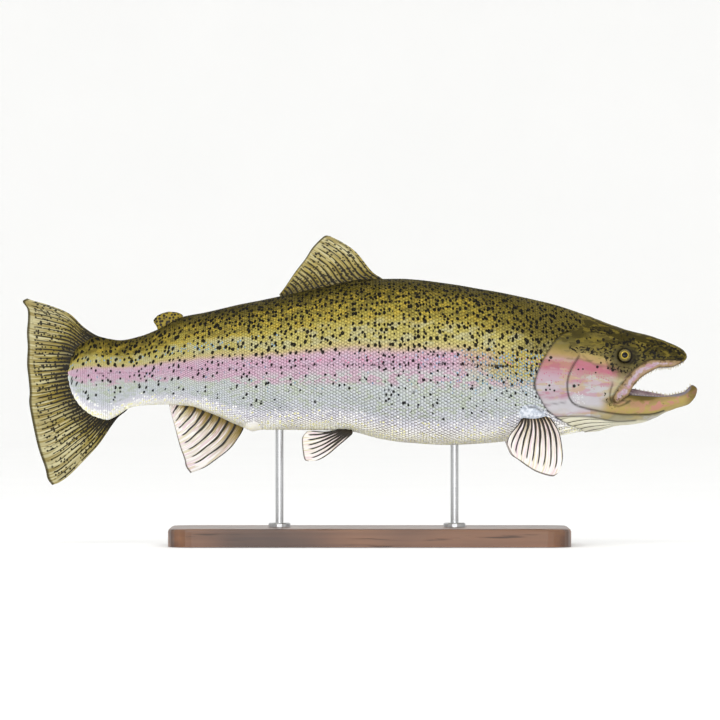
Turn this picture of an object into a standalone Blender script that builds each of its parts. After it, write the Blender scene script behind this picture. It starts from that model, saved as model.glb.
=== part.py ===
"""A life-size rainbow trout, an old male with a hooked jaw, swimming above a plain display stand.

The fish points along +X with its mouth open, +Z is up and +Y is its left side. The origin is on the
floor, under the middle of the fish. The body is one loft that is parted by thin cuts; the lower jaw,
the fins, the eyes and the bony plates of the head are pieces of their own. The tables hold
millimetres, and make_object turns the finished meshes into metres.
"""
import math

import bmesh
import bpy
import numpy as np
from mathutils import Matrix, Vector

MM = 0.001
GAP = 0.3                      # clearance between two pieces that meet

# Lines of the body seen from the side, as (distance ahead of the middle, height above the floor).
CREST = [(-252.5, 207), (-239.5, 205), (-219.5, 209), (-201.5, 216), (-178.5, 228), (-155.5, 232.5),
         (-123.5, 240), (-83.5, 248), (-38.5, 258), (5.5, 266), (40.5, 266.5), (80.5, 262.8),
         (120.5, 256.3), (160.5, 248.7), (196.5, 240), (228.5, 229.5), (260.5, 217.5),
         (290.5, 209.5), (315.5, 200.3), (323.5, 195.5), (327.5, 190.5)]
KEEL = [(-252.5, 112), (-241.5, 127), (-230.5, 136), (-219.5, 139), (-194.5, 140), (-169, 138.5),
        (-155.5, 134), (-140.5, 128), (-125.5, 121), (-106.5, 115), (-69.5, 114.7), (-27.5, 114.3),
        (-7.5, 113), (20.5, 106), (48.5, 102), (90.5, 99.7), (132.5, 102), (170.5, 106),
        (201.5, 109.5), (221.5, 113), (240.5, 115), (256.5, 119), (273.5, 120.3), (294.5, 126),
        (304.5, 131.5), (315.5, 136), (328.5, 140), (335.5, 147), (338, 154)]
WIDEST = [(-252.5, 163), (-219.5, 173), (-150, 183), (-80, 182), (80, 181), (160, 178), (200, 171),
          (240.5, 163), (268, 161), (290, 169), (310, 176), (327.5, 187)]
HALF_WIDTH = [(-252.5, 10), (-241.5, 12), (-209.5, 17), (-169.5, 23.5), (-129.5, 30), (-79.5, 36.5),
              (-29.5, 40.5), (20.5, 42.5), (70.5, 43), (120.5, 41.5), (170.5, 38.5), (195.5, 36),
              (220.5, 32.5), (240.5, 28.5), (263.5, 24), (290.5, 18), (310.5, 13.5), (320.5, 9.5),
              (325.5, 5.5), (327.5, 2.5)]
# The lower cheek line, which becomes the edge of the upper lip ahead of the corner of the mouth.
LIP = [(-252.5, 150), (-150, 165), (100, 160), (200, 148), (240.5, 141), (255.5, 144.5),
       (268.2, 150.5), (271, 156.5), (275.2, 162.4), (280.5, 168), (289.2, 173.6), (299.1, 178),
       (310.5, 178.5), (318.5, 181.3), (324.5, 184.5), (327.5, 187.5)]
PALATE = [(240.5, 163), (268, 172), (290, 180), (310, 184), (327.5, 188.5)]
BACK_ROUNDNESS = [(-252.5, 2.1), (100, 2.0), (220, 2.3), (280, 2.5), (327.5, 2.2)]
BELLY_ROUNDNESS = 2.25

# Lower jaw: its lip, the height and size of its widest girth, and the trough of its floor.
JAW_LIP = [(268, 150.1), (280.5, 149), (301.5, 148), (315.5, 150), (324.5, 152.5), (328.5, 156),
           (332.5, 159.4), (336.5, 157.5), (338, 155.5)]
JAW_WIDEST = [(240.5, 163), (268, 155), (285, 149), (301.5, 147), (325, 150), (338, 154.7)]
JAW_HALF_WIDTH = [(240.5, 28.5), (268, 22.5), (280.5, 19), (295.5, 15.5), (310.5, 11.8), (324.5, 8),
                  (330.5, 6), (335.5, 4), (338, 1.2)]
TROUGH_DEPTH = [(240.5, 9), (300, 9), (318, 5), (330, 1.5), (338, 0.5)]
LIP_THICKNESS = 4.5
LEAST_INNER_SHARE = 0.4        # the mouth's inside is at least this share of its outside
MOUTH_ROUNDNESS = 2.6
GUM_STEP = 0.2                 # height of the small step where the lip meets the gum

JAW_BACK = 240.5               # the plane where head and lower jaw meet
MOUTH_CORNER = 268.0
TAIL_PLANE = -252.5            # the plane where tail stalk and tail fin meet
SNOUT = 327.5
TAIL_TIP = -338
CHEEK_PLACES = [249, 258.5, MOUTH_CORNER]   # sections where head and lower jaw meet behind the mouth
STALK_CUT = -113.5             # planes that part the trunk
TRUNK_CUT = 40.5

# Cuts along the free edge of the gill cover, from nape to throat, and above the throat.
GILL_EDGE = [(216, 262), (221, 230), (223.5, 219.5), (212, 214.5), (200.5, 209.5), (193.5, 202),
             (186.5, 192), (178.5, 176.4), (175, 165), (175, 157), (179.5, 147), (186.5, 136),
             (195.5, 128), (199, 116), (201, 90)]
THROAT_LINE = [(190, 127), (210.5, 127.8), (227.5, 128.6), (JAW_BACK + 3, 127)]

# Bony plates that lie on the head, each between two border lines.
GILL_FRONT = [(219.5, 215), (218, 205), (214.5, 190), (209, 177), (206, 164), (207, 153),
              (210.5, 143), (216, 135.5), (220, 130.5)]
MAXILLA_UPPER = [(321.5, 184.5), (304, 185), (287.5, 184.2), (273.5, 175.5), (264, 165),
                 (256, 156), (252.5, 149)]
MAXILLA_LOWER = [(321, 182.5), (310, 179), (299.1, 178), (289.2, 173.6), (280.5, 168),
                 (275.2, 162.4), (271, 156.5), (267, 150.6), (256, 146)]
PLATE_LIFT = 0.5               # clearance between a plate and the head
PLATE_THICKNESS = 1.2

# Fins: each has a root line inside the body and a rim that runs from its front to its rear base.
FINS = {
    "dorsal_fin": {
        "root": [(20.5, 258), (-75.5, 244)],
        "rim": [(24.5, 265), (12.5, 274), (-3.5, 293.4), (-17.9, 303.6), (-29.5, 310), (-35.5, 310),
                (-46.5, 298.5), (-54.5, 286), (-63.8, 274), (-74, 259), (-80.5, 251)],
        "thick": 5.0, "colour": (0.36, 0.31, 0.14)},
    "adipose_fin": {
        "root": [(-178, 223), (-201.5, 213)],
        "rim": [(-176.5, 230), (-190.8, 234), (-202, 230), (-206.5, 224.3), (-202.5, 217.5)],
        "thick": 4.0, "colour": (0.30, 0.25, 0.09)},
    "anal_fin": {
        "root": [(-119.5, 121), (-187.5, 145)],
        "rim": [(-115.5, 117), (-123, 104), (-130.5, 95), (-142.5, 85.5), (-154.9, 77),
                (-169.5, 71.5), (-174, 78.5), (-175.5, 86), (-180.5, 100), (-185.5, 119),
                (-190.5, 138)],
        "thick": 6.0, "colour": (0.68, 0.60, 0.52)},
    "pelvic_fin": {
        "root": [(-9.5, 117), (-21.5, 121)],
        "rim": [(-6.5, 112.5), (-10.5, 108), (-20.9, 99), (-31.5, 90), (-41.5, 84.5), (-51.5, 83.3),
                (-55.5, 86), (-57.5, 99), (-57.5, 108), (-52.8, 113.2), (-46.5, 114),
                (-33.5, 113.5), (-22.5, 116)],
        "thick": 5.0, "colour": (0.70, 0.63, 0.60), "hinge": (12.0, 114.0), "splay": 35.0},
    "pectoral_fin": {
        "root": [(185.5, 134), (161.5, 126)],
        "rim": [(188.5, 130), (194.5, 122), (199.1, 112), (201.3, 100), (201.8, 87), (199.1, 76.4),
                (195.5, 71), (189.5, 69.3), (174.1, 75), (160.5, 84), (152.5, 89), (148.2, 97),
                (146.5, 104), (150, 112), (157.5, 121)],
        "thick": 6.0, "colour": (0.76, 0.71, 0.66), "hinge": (28.5, 127.0), "splay": 35.0},
}
FIN_RIM_THICKNESS = 0.8
FIN_SAMPLES = 16               # places along the root and the rim of a fin
FIN_LAYERS = 4                 # steps from root to rim

TAIL_TOP = [(-252.5, 207), (-263.5, 210.3), (-276.5, 219), (-290.5, 232), (-311.5, 240.5),
            (-332.5, 247), (-336, 245.5), (-338, 243.5)]
TAIL_BOTTOM = [(-252.5, 112), (-262.5, 98), (-276.5, 83), (-290.5, 69), (-300.5, 62), (-307.5, 59.5),
               (-312, 66), (-314.5, 77), (-321.5, 97), (-326.9, 122), (-330, 143), (-331.8, 160),
               (-332.5, 195), (-334, 222), (-338, 241.5)]
TAIL_HALF_WIDTH = [(-252.5, 10), (-263.5, 7.2), (-276.5, 4.8), (-290.5, 3), (-309.5, 1.8),
                   (-323.5, 1.1), (-338, 0.5)]
TAIL_ROUNDNESS = [(-338, 6), (-300, 4), (-265, 2.4), (-252.5, 2.25)]

EYE_PLACE = (264.0, 189.0)     # ahead of the middle, above the floor
EYE_RADIUS = 9.0
EYE_DEPTH_RADIUS = 7.2         # the eyeball is a little flat
EYE_SET_IN = 4.2               # how far its centre lies under the skin

TEETH_PER_SIDE = 7
TOOTH_LENGTH = 3.0
TOOTH_RADIUS = 0.9
TOOTH_TIP_SHARE = 0.15         # radius of a tooth's tip as a share of its foot's
TOOTH_PROUD_SHARE = 0.28       # how far a tooth's middle stands off the edge of the jaw
TOOTH_INSET = 3.24             # from the outside of the jaw, where the jaw is wide enough
TOOTH_INSET_SHARE = 0.45

TONGUE_CENTRE = (280.5, 0, 147.2)
TONGUE_RADII = (32, 7.5, 6.5)

# Display stand: a rounded board and two steel rods that end in sockets.
BASE_SIZE = (400.0, 150.0, 18.0)
BASE_CENTRE_X = 10.0
BASE_CORNER = 24.0
BASE_EDGE = 3.0
ROUND = 14                     # facets round a rod
ROD_RADIUS = 4.0
ROD_PLACES = {"front": 95.0, "rear": -80.0}
COLLAR_RADIUS = 11.0
COLLAR_HEIGHT = 4.0
ROD_IN_BASE = 12.0
ROD_IN_BODY = 16.0


# ---------------------------------------------------------------- curves

def curve(knots):
    """Return a smooth function through (x, value) knots that never overshoots between them."""
    xs, ys = (np.array(column, float) for column in zip(*sorted(knots)))
    steps = np.diff(xs)
    slopes = np.diff(ys) / steps
    tangents = np.zeros(len(xs))
    tangents[0], tangents[-1] = slopes[0], slopes[-1]
    for i in range(1, len(xs) - 1):
        if slopes[i - 1] * slopes[i] > 0:
            tangents[i] = 2 * slopes[i - 1] * slopes[i] / (slopes[i - 1] + slopes[i])

    def value(x):
        x = min(max(x, xs[0]), xs[-1])
        i = min(max(int(np.searchsorted(xs, x)) - 1, 0), len(steps) - 1)
        t = (x - xs[i]) / steps[i]
        return ((1 + 2 * t) * (1 - t) ** 2 * ys[i] + t * (1 - t) ** 2 * steps[i] * tangents[i]
                + t * t * (3 - 2 * t) * ys[i + 1] + t * t * (t - 1) * steps[i] * tangents[i + 1])

    return value


def sample_path(points, count):
    """Return count points, evenly spaced, on a smooth path through the given ones."""
    points = np.array(points, float)
    if len(points) == 2:
        return [tuple(p) for p in np.linspace(points[0], points[1], count)]
    padded = np.vstack([2 * points[0] - points[1], points, 2 * points[-1] - points[-2]])
    fine = []
    for i in range(1, len(padded) - 2):
        a, b, c, d = padded[i - 1:i + 3]
        for t in np.arange(0, 1, 0.125):
            fine.append(0.5 * (2 * b + (c - a) * t + (2 * a - 5 * b + 4 * c - d) * t * t
                               + (3 * b - a - 3 * c + d) * t ** 3))
    fine = np.array(fine + [points[-1]])
    lengths = np.concatenate([[0], np.cumsum(np.linalg.norm(np.diff(fine, axis=0), axis=1))])
    wanted = np.linspace(0, lengths[-1], count)
    return [(np.interp(w, lengths, fine[:, 0]), np.interp(w, lengths, fine[:, 1])) for w in wanted]


crest = curve(CREST)
keel = curve(KEEL)
widest = curve(WIDEST)
half_width = curve(HALF_WIDTH)
lip = curve(LIP)
palate = curve(PALATE)
back_roundness = curve(BACK_ROUNDNESS)
open_jaw_lip = curve(JAW_LIP)
jaw_widest = curve(JAW_WIDEST)
jaw_half_width = curve(JAW_HALF_WIDTH)
trough_depth = curve(TROUGH_DEPTH)


def jaw_lip(x):
    """Return the height of the lower jaw's lip, which follows the cheek behind the open mouth."""
    return lip(x) - GAP if x <= MOUTH_CORNER else open_jaw_lip(x)


# ---------------------------------------------------------------- making objects

def start_clean():
    """Remove the objects of the scene that is open."""
    for thing in list(bpy.context.scene.objects):
        bpy.data.objects.remove(thing, do_unlink=True)


def new_collection(name):
    """Add a collection to the scene."""
    collection = bpy.data.collections.new(name)
    bpy.context.scene.collection.children.link(collection)
    return collection


def material(name, colour, roughness=0.4, metallic=0.0):
    """Return a Principled material."""
    made = bpy.data.materials.new(name)
    made.use_nodes = True
    shader = made.node_tree.nodes["Principled BSDF"]
    shader.inputs["Base Color"].default_value = (*colour, 1)
    shader.inputs["Roughness"].default_value = roughness
    shader.inputs["Metallic"].default_value = metallic
    return made


def make_object(name, built, where):
    """Turn a bmesh in millimetres into an object in metres and link it to a collection."""
    bmesh.ops.recalc_face_normals(built, faces=built.faces)
    bmesh.ops.scale(built, vec=(MM, MM, MM), verts=built.verts)
    mesh = bpy.data.meshes.new(name)
    built.to_mesh(mesh)
    built.free()
    made = bpy.data.objects.new(name, mesh)
    where.objects.link(made)
    return made


def finish_piece(piece, colour, roughness=0.4, metallic=0.0):
    """Give a piece its material and smooth shading with crisp edges."""
    piece.data.materials.clear()
    piece.data.materials.append(material(piece.name, colour, roughness, metallic))
    piece.data.shade_smooth()
    piece.data.set_sharp_from_angle(angle=math.radians(40))


def loft(rings):
    """Return a closed bmesh through rings of equal length, with a flat face at each end."""
    built = bmesh.new()
    rows = [[built.verts.new(point) for point in ring] for ring in rings]
    for first, second in zip(rows, rows[1:]):
        for i in range(len(first)):
            j = (i + 1) % len(first)
            built.faces.new((first[i], first[j], second[j], second[i]))
    built.faces.new(rows[0])
    built.faces.new(rows[-1])
    return built


def sheet(place, count, layers):
    """Return a closed two-sided sheet; place(s, t, face) gives its points, with face -1 or 1."""
    built = bmesh.new()
    grid = {(s, k, face): built.verts.new(place(s, k / layers, face))
            for s in range(count) for k in range(layers + 1) for face in (-1, 1)}
    for s in range(count - 1):
        for k in range(layers):
            for face in (-1, 1):
                built.faces.new((grid[s, k, face], grid[s + 1, k, face],
                                 grid[s + 1, k + 1, face], grid[s, k + 1, face]))
        for k in (0, layers):
            built.faces.new((grid[s, k, -1], grid[s + 1, k, -1], grid[s + 1, k, 1], grid[s, k, 1]))
    for k in range(layers):
        for s in (0, count - 1):
            built.faces.new((grid[s, k, -1], grid[s, k + 1, -1], grid[s, k + 1, 1], grid[s, k, 1]))
    return built


def prism(outline, low, high):
    """Return a bmesh of an outline in the side view, carried across from y = low to y = high."""
    built = bmesh.new()
    face = built.faces.new([built.verts.new((x, low, z)) for x, z in outline])
    carried = bmesh.ops.extrude_face_region(built, geom=[face])
    top = [v for v in carried["geom"] if isinstance(v, bmesh.types.BMVert)]
    bmesh.ops.translate(built, vec=(0, high - low, 0), verts=top)
    bmesh.ops.triangulate(built, faces=built.faces)
    return built


def ribbon(points, thickness):
    """Return the closed outline of a line with the given thickness."""
    points = np.array(points, float)
    along = np.gradient(points, axis=0)
    along /= np.linalg.norm(along, axis=1)[:, None]
    across = np.stack([-along[:, 1], along[:, 0]], axis=1) * thickness / 2
    return [tuple(p) for p in points + across] + [tuple(p) for p in (points - across)[::-1]]


def cut(piece, cutter, operation="DIFFERENCE"):
    """Apply one Boolean to a piece and keep the cutter."""
    step = piece.modifiers.new("cut", "BOOLEAN")
    step.operation = operation
    step.solver = "EXACT"
    step.object = cutter
    bpy.context.view_layer.update()
    reading = piece.evaluated_get(bpy.context.evaluated_depsgraph_get())
    result = bpy.data.meshes.new_from_object(reading)
    piece.modifiers.remove(step)
    old = piece.data
    piece.data = result
    result.name = piece.name
    bpy.data.meshes.remove(old)


def islands(piece):
    """Return the connected groups of faces in a piece as separate bmeshes in metres."""
    whole = bmesh.new()
    whole.from_mesh(piece.data)
    whole.verts.ensure_lookup_table()
    seen = set()
    groups = []
    for start in whole.verts:
        if start.index in seen:
            continue
        seen.add(start.index)
        group = [start]
        for vert in group:
            for edge in vert.link_edges:
                other = edge.other_vert(vert)
                if other.index not in seen:
                    seen.add(other.index)
                    group.append(other)
        groups.append({vert.index for vert in group})
    made = []
    for group in groups:
        part = whole.copy()
        part.verts.ensure_lookup_table()
        bmesh.ops.delete(part, geom=[v for v in part.verts if v.index not in group], context="VERTS")
        made.append(part)
    whole.free()
    return made


# ---------------------------------------------------------------- body and jaw

def rounded(angle, roundness):
    """Return the two coordinates of a unit superellipse at an angle, each with its sign."""
    power = 2 / roundness
    across = abs(math.cos(angle)) ** power
    up = math.copysign(abs(math.sin(angle)) ** power, math.sin(angle))
    return across, up


def angle_at(height, roundness):
    """Return the angle at which a unit superellipse has the given height, from -1 to 1."""
    height = min(max(height, -1), 1)
    return math.copysign(math.asin(abs(height) ** (roundness / 2)), height)


def body_point(x, angle, extra):
    """Return width and height of the body's section at an angle, grown outwards by extra."""
    middle = widest(x)
    if angle >= 0:
        across, up = rounded(angle, back_roundness(x))
        return across * (half_width(x) + extra), middle + up * (crest(x) + extra - middle)
    across, up = rounded(angle, BELLY_ROUNDNESS)
    return across * (half_width(x) + extra), middle + up * (middle - keel(x) + extra)


def lip_angle(x, extra):
    """Return the angle on the body's section that lies at the height of the lip line."""
    middle = widest(x)
    if lip(x) >= middle:
        return angle_at((lip(x) - middle) / (crest(x) + extra - middle), back_roundness(x))
    return -angle_at((middle - lip(x)) / (middle - keel(x) + extra), BELLY_ROUNDNESS)


def mirrored(x, half):
    """Return a closed ring at x from half a section, listed from its top to its bottom."""
    right = [(x, -y, z) for y, z in half]
    left = [(x, y, z) for y, z in half[-2:0:-1]]
    return right + left


def body_ring(x, extra=0.0, open_mouth=False, upper=6, lower=5):
    """Return a section of the body: down the side to the lip line, then belly or palate."""
    split = lip_angle(x, extra)
    half = [body_point(x, a, extra) for a in np.linspace(math.pi / 2, split, upper + 1)]
    half[0] = (0.0, half[0][1])
    if open_mouth:
        wide, edge = half[-1]
        inner = max(wide - LIP_THICKNESS, wide * LEAST_INNER_SHARE)
        for angle in np.linspace(0, math.pi / 2, lower):
            across, up = rounded(angle, MOUTH_ROUNDNESS)
            half.append((inner * across, edge + GUM_STEP + up * (palate(x) - edge)))
    else:
        half += [body_point(x, a, extra) for a in np.linspace(split, -math.pi / 2, lower + 1)[1:]]
    half[-1] = (0.0, half[-1][1])
    return mirrored(x, half)


def body_loft(extra=0.0):
    """Return the body from the tail to the snout, with the palate over the open mouth."""
    trunk = list(np.linspace(TAIL_PLANE, 180, 23)) + list(np.linspace(192, JAW_BACK, 5))
    head = [JAW_BACK + 0.05] + CHEEK_PLACES + [271, 274, 278]
    head += list(np.linspace(283, 317, 6)) + [322, 325.2, SNOUT]
    rings = [body_ring(x, extra) for x in trunk]
    rings += [body_ring(x, extra, open_mouth=True) for x in head]
    return loft(rings)


def jaw_ring(x, upper=5, lower=5):
    """Return a section of the lower jaw: a trough inside, then the outer side down to the chin."""
    middle = jaw_widest(x)
    wide = jaw_half_width(x)
    reach = middle - keel(x)
    start = -angle_at(max(middle - jaw_lip(x), 0) / reach, BELLY_ROUNDNESS)
    side = []
    for angle in np.linspace(start, -math.pi / 2, lower + 1):
        across, up = rounded(angle, BELLY_ROUNDNESS)
        side.append((wide * across, middle + up * reach))
    side[-1] = (0.0, side[-1][1])
    edge = jaw_lip(x)
    side[0] = (side[0][0], edge)
    inner = max(side[0][0] - LIP_THICKNESS, side[0][0] * LEAST_INNER_SHARE)
    trough = []
    for angle in np.linspace(math.pi / 2, 0, upper):
        across, up = rounded(angle, MOUTH_ROUNDNESS)
        trough.append((inner * across, edge - GUM_STEP - up * trough_depth(x)))
    trough[0] = (0.0, trough[0][1])
    return mirrored(x, trough + side)


def jaw_loft():
    """Return the lower jaw from its hinge to the hook."""
    places = [JAW_BACK + GAP] + CHEEK_PLACES + list(np.linspace(275, 324, 7))
    places += [327, 329.5, 332, 334.5, 336.5, 338]
    return loft([jaw_ring(x) for x in places])


def side_of_body(x, z):
    """Return how far the skin of the body is from the middle plane at a place in the side view."""
    middle = widest(x)
    if z >= middle:
        angle = angle_at((z - middle) / (crest(x) - middle), back_roundness(x))
        return body_point(x, angle, 0)[0]
    return body_point(x, -angle_at((middle - z) / (middle - keel(x)), BELLY_ROUNDNESS), 0)[0]


def part_the_body(whole, where, cutters):
    """Part the body with thin cuts and return its pieces by name."""
    reach = 60
    lines = [[(STALK_CUT, 60), (STALK_CUT, 300)], [(TRUNK_CUT, 60), (TRUNK_CUT, 300)],
             sample_path(GILL_EDGE, 22), THROAT_LINE]
    for number, line in enumerate(lines):
        cut(whole, make_object(f"body_cut_{number}", prism(ribbon(line, GAP), -reach, reach), cutters))
    marks = {"tail_stalk": (-180, 180), "trunk_rear": (-30, 180), "trunk_front": (110, 180),
             "head": (250, 190), "throat": (220, 119)}
    pieces = {}
    for part in islands(whole):
        boxes = [Vector(v.co) / MM for v in part.verts]
        low = [min(p[i] for p in boxes) for i in range(3)]
        high = [max(p[i] for p in boxes) for i in range(3)]
        fits = [name for name, (x, z) in marks.items()
                if low[0] < x < high[0] and low[2] < z < high[2]]
        name = "throat" if "throat" in fits and high[2] < 150 else [n for n in fits if n != "throat"][0]
        bmesh.ops.scale(part, vec=(1 / MM,) * 3, verts=part.verts)
        pieces[name] = make_object(name, part, where)
    bpy.data.objects.remove(whole, do_unlink=True)
    return pieces


def head_plate(first, second, count, layers, side):
    """Return a thin plate that follows the side of the head between two border lines."""
    first, second = np.array(sample_path(first, count)), np.array(sample_path(second, count))

    def place(s, t, face):
        x, z = first[s] + (second[s] - first[s]) * t
        lift = PLATE_LIFT + (PLATE_THICKNESS if face > 0 else 0)
        return x, side * (side_of_body(x, z) + lift), z

    return sheet(place, count, layers)


def gill_border():
    """Return the free edge of the gill cover, from its top to its bottom, just inside the cut."""
    low, high = GILL_FRONT[-1][1], GILL_FRONT[0][1]
    return [(x + GAP, z) for x, z in sample_path(GILL_EDGE, 40) if low < z < high - 1]


# ---------------------------------------------------------------- eyes, teeth and tongue

def ball(centre, radii, around, along):
    """Return a bmesh of an ellipsoid."""
    built = bmesh.new()
    bmesh.ops.create_uvsphere(built, u_segments=around, v_segments=along, radius=1)
    bmesh.ops.transform(built, matrix=Matrix.Translation(centre) @ Matrix.Diagonal((*radii, 1)),
                        verts=built.verts)
    return built


def eye(side, extra=0.0):
    """Return an eyeball on one side of the head."""
    x, z = EYE_PLACE
    centre = (x, side * (side_of_body(x, z) - EYE_SET_IN), z)
    return ball(centre, (EYE_RADIUS + extra, EYE_DEPTH_RADIUS + extra, EYE_RADIUS + extra), 12, 8)


def add_teeth(piece, edge, width, up, places, cutters):
    """Join a row of small conical teeth to each side of a jaw."""
    built = bmesh.new()
    turn = Matrix.Rotation(0 if up > 0 else math.pi, 4, "X")
    for side in (-1, 1):
        for x in places:
            inset = min(TOOTH_INSET, width(x) * TOOTH_INSET_SHARE)
            height = edge(x) + up * TOOTH_LENGTH * TOOTH_PROUD_SHARE
            place = Vector((x, side * (width(x) - inset), height))
            bmesh.ops.create_cone(built, cap_ends=True, segments=4, radius1=TOOTH_RADIUS,
                                  radius2=TOOTH_RADIUS * TOOTH_TIP_SHARE, depth=TOOTH_LENGTH,
                                  matrix=Matrix.Translation(place) @ turn)
    cut(piece, make_object(f"{piece.name}_teeth", built, cutters), "UNION")


# ---------------------------------------------------------------- fins

def fin_plate(shape, count, side=0):
    """Return a thin fin: a sheet from its root line to its rim that gets thinner outwards."""
    root = sample_path(shape["root"], count)
    rim = sample_path(shape["rim"], count)
    lean = math.radians(shape.get("splay", 0.0))
    out, hinge = shape.get("hinge", (0.0, 0.0))

    def place(s, t, face):
        x = root[s][0] + (rim[s][0] - root[s][0]) * t
        z = root[s][1] + (rim[s][1] - root[s][1]) * t
        edge = min(s, count - 1 - s) / (count - 1)
        swell = (shape["thick"] - FIN_RIM_THICKNESS) * (1 - t) ** 2 * min(1, 0.3 + 4 * edge)
        half = face * (FIN_RIM_THICKNESS + swell) / 2
        if not side:
            return x, half, z
        drop = (hinge - z) / math.cos(lean)
        y = out + drop * math.sin(lean) + half * math.cos(lean)
        return x, side * y, hinge - drop * math.cos(lean) + half * math.sin(lean)

    return sheet(place, count, FIN_LAYERS)


def tail_fin():
    """Return the tail fin: thin lens-shaped sections from the stalk to the trailing edge."""
    top, bottom = curve(TAIL_TOP), curve(TAIL_BOTTOM)
    wide, roundness = curve(TAIL_HALF_WIDTH), curve(TAIL_ROUNDNESS)
    places = [TAIL_PLANE - GAP] + list(np.linspace(-262, -307.5, 6))
    places += [-310.5, -314.5, -321.5, -327, -331, -333, -335, TAIL_TIP]
    rings = []
    for x in places:
        middle = (top(x) + bottom(x)) / 2
        half = []
        for angle in np.linspace(math.pi / 2, -math.pi / 2, 9):
            across, up = rounded(angle, roundness(x))
            half.append((wide(x) * across, middle + up * (top(x) - bottom(x)) / 2))
        half[0] = (0.0, half[0][1])
        half[-1] = (0.0, half[-1][1])
        rings.append(mirrored(x, half))
    return loft(rings)


def make_fins(around, where):
    """Make every fin and trim its root along the skin of the body."""
    for name, shape in FINS.items():
        sides = {"_left": 1, "_right": -1} if "splay" in shape else {"": 0}
        for ending, side in sides.items():
            fin = make_object(name + ending, fin_plate(shape, FIN_SAMPLES, side), where)
            cut(fin, around)
            finish_piece(fin, shape["colour"], 0.45)
    finish_piece(make_object("tail_fin", tail_fin(), where), (0.34, 0.29, 0.15), 0.45)


# ---------------------------------------------------------------- display stand

def cylinder(radius, low, high, x):
    """Return a bmesh of an upright cylinder at x."""
    built = bmesh.new()
    bmesh.ops.create_cone(built, cap_ends=True, segments=ROUND, radius1=radius, radius2=radius,
                          depth=high - low)
    bmesh.ops.translate(built, vec=(x, 0, (low + high) / 2), verts=built.verts)
    return built


def make_base(where, cutters):
    """Make the board of the stand, with rounded corners, a soft edge and two sockets."""
    length, width, height = BASE_SIZE
    built = bmesh.new()
    bmesh.ops.create_cube(built, size=1)
    bmesh.ops.scale(built, vec=BASE_SIZE, verts=built.verts)
    bmesh.ops.translate(built, vec=(BASE_CENTRE_X, 0, height / 2), verts=built.verts)
    corners = [e for e in built.edges if abs(e.verts[0].co.z - e.verts[1].co.z) > height / 2]
    bmesh.ops.bevel(built, geom=corners, offset=BASE_CORNER, segments=6, profile=0.5,
                    affect="EDGES")
    rim = [e for e in built.edges if all(v.co.z > height - 0.01 for v in e.verts)]
    bmesh.ops.bevel(built, geom=rim, offset=BASE_EDGE, segments=2, profile=0.5, affect="EDGES")
    base = make_object("stand_base", built, where)
    for name, x in ROD_PLACES.items():
        socket = cylinder(ROD_RADIUS + GAP, height - ROD_IN_BASE - GAP, height + 5, x)
        cut(base, make_object(f"base_socket_{name}", socket, cutters))
    finish_piece(base, (0.20, 0.10, 0.05), 0.35)


def make_rod(name, x, where):
    """Make one steel rod with a flat collar above the board, from board socket to belly socket."""
    height = BASE_SIZE[2]
    top = keel(x) + ROD_IN_BODY
    profile = [(0, top), (ROD_RADIUS, top), (ROD_RADIUS, height + GAP + COLLAR_HEIGHT),
               (COLLAR_RADIUS - 1, height + GAP + COLLAR_HEIGHT),
               (COLLAR_RADIUS, height + GAP + COLLAR_HEIGHT - 1), (COLLAR_RADIUS, height + GAP),
               (ROD_RADIUS, height + GAP), (ROD_RADIUS, height - ROD_IN_BASE),
               (0, height - ROD_IN_BASE)]
    built = bmesh.new()
    verts = [built.verts.new((radius, 0, z)) for radius, z in profile]
    edges = [built.edges.new(pair) for pair in zip(verts, verts[1:])]
    bmesh.ops.spin(built, geom=verts + edges, cent=(0, 0, 0), axis=(0, 0, 1), angle=2 * math.pi,
                   steps=ROUND, use_merge=True)
    bmesh.ops.remove_doubles(built, verts=built.verts, dist=0.001)
    bmesh.ops.translate(built, vec=(x, 0, 0), verts=built.verts)
    finish_piece(make_object(f"stand_rod_{name}", built, where), (0.62, 0.62, 0.62), 0.25, 1.0)


# ---------------------------------------------------------------- the whole model

SKIN_COLOURS = {"tail_stalk": (0.42, 0.38, 0.20), "trunk_rear": (0.46, 0.43, 0.26),
                "trunk_front": (0.47, 0.44, 0.28), "head": (0.34, 0.29, 0.12),
                "throat": (0.55, 0.50, 0.42)}


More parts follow.
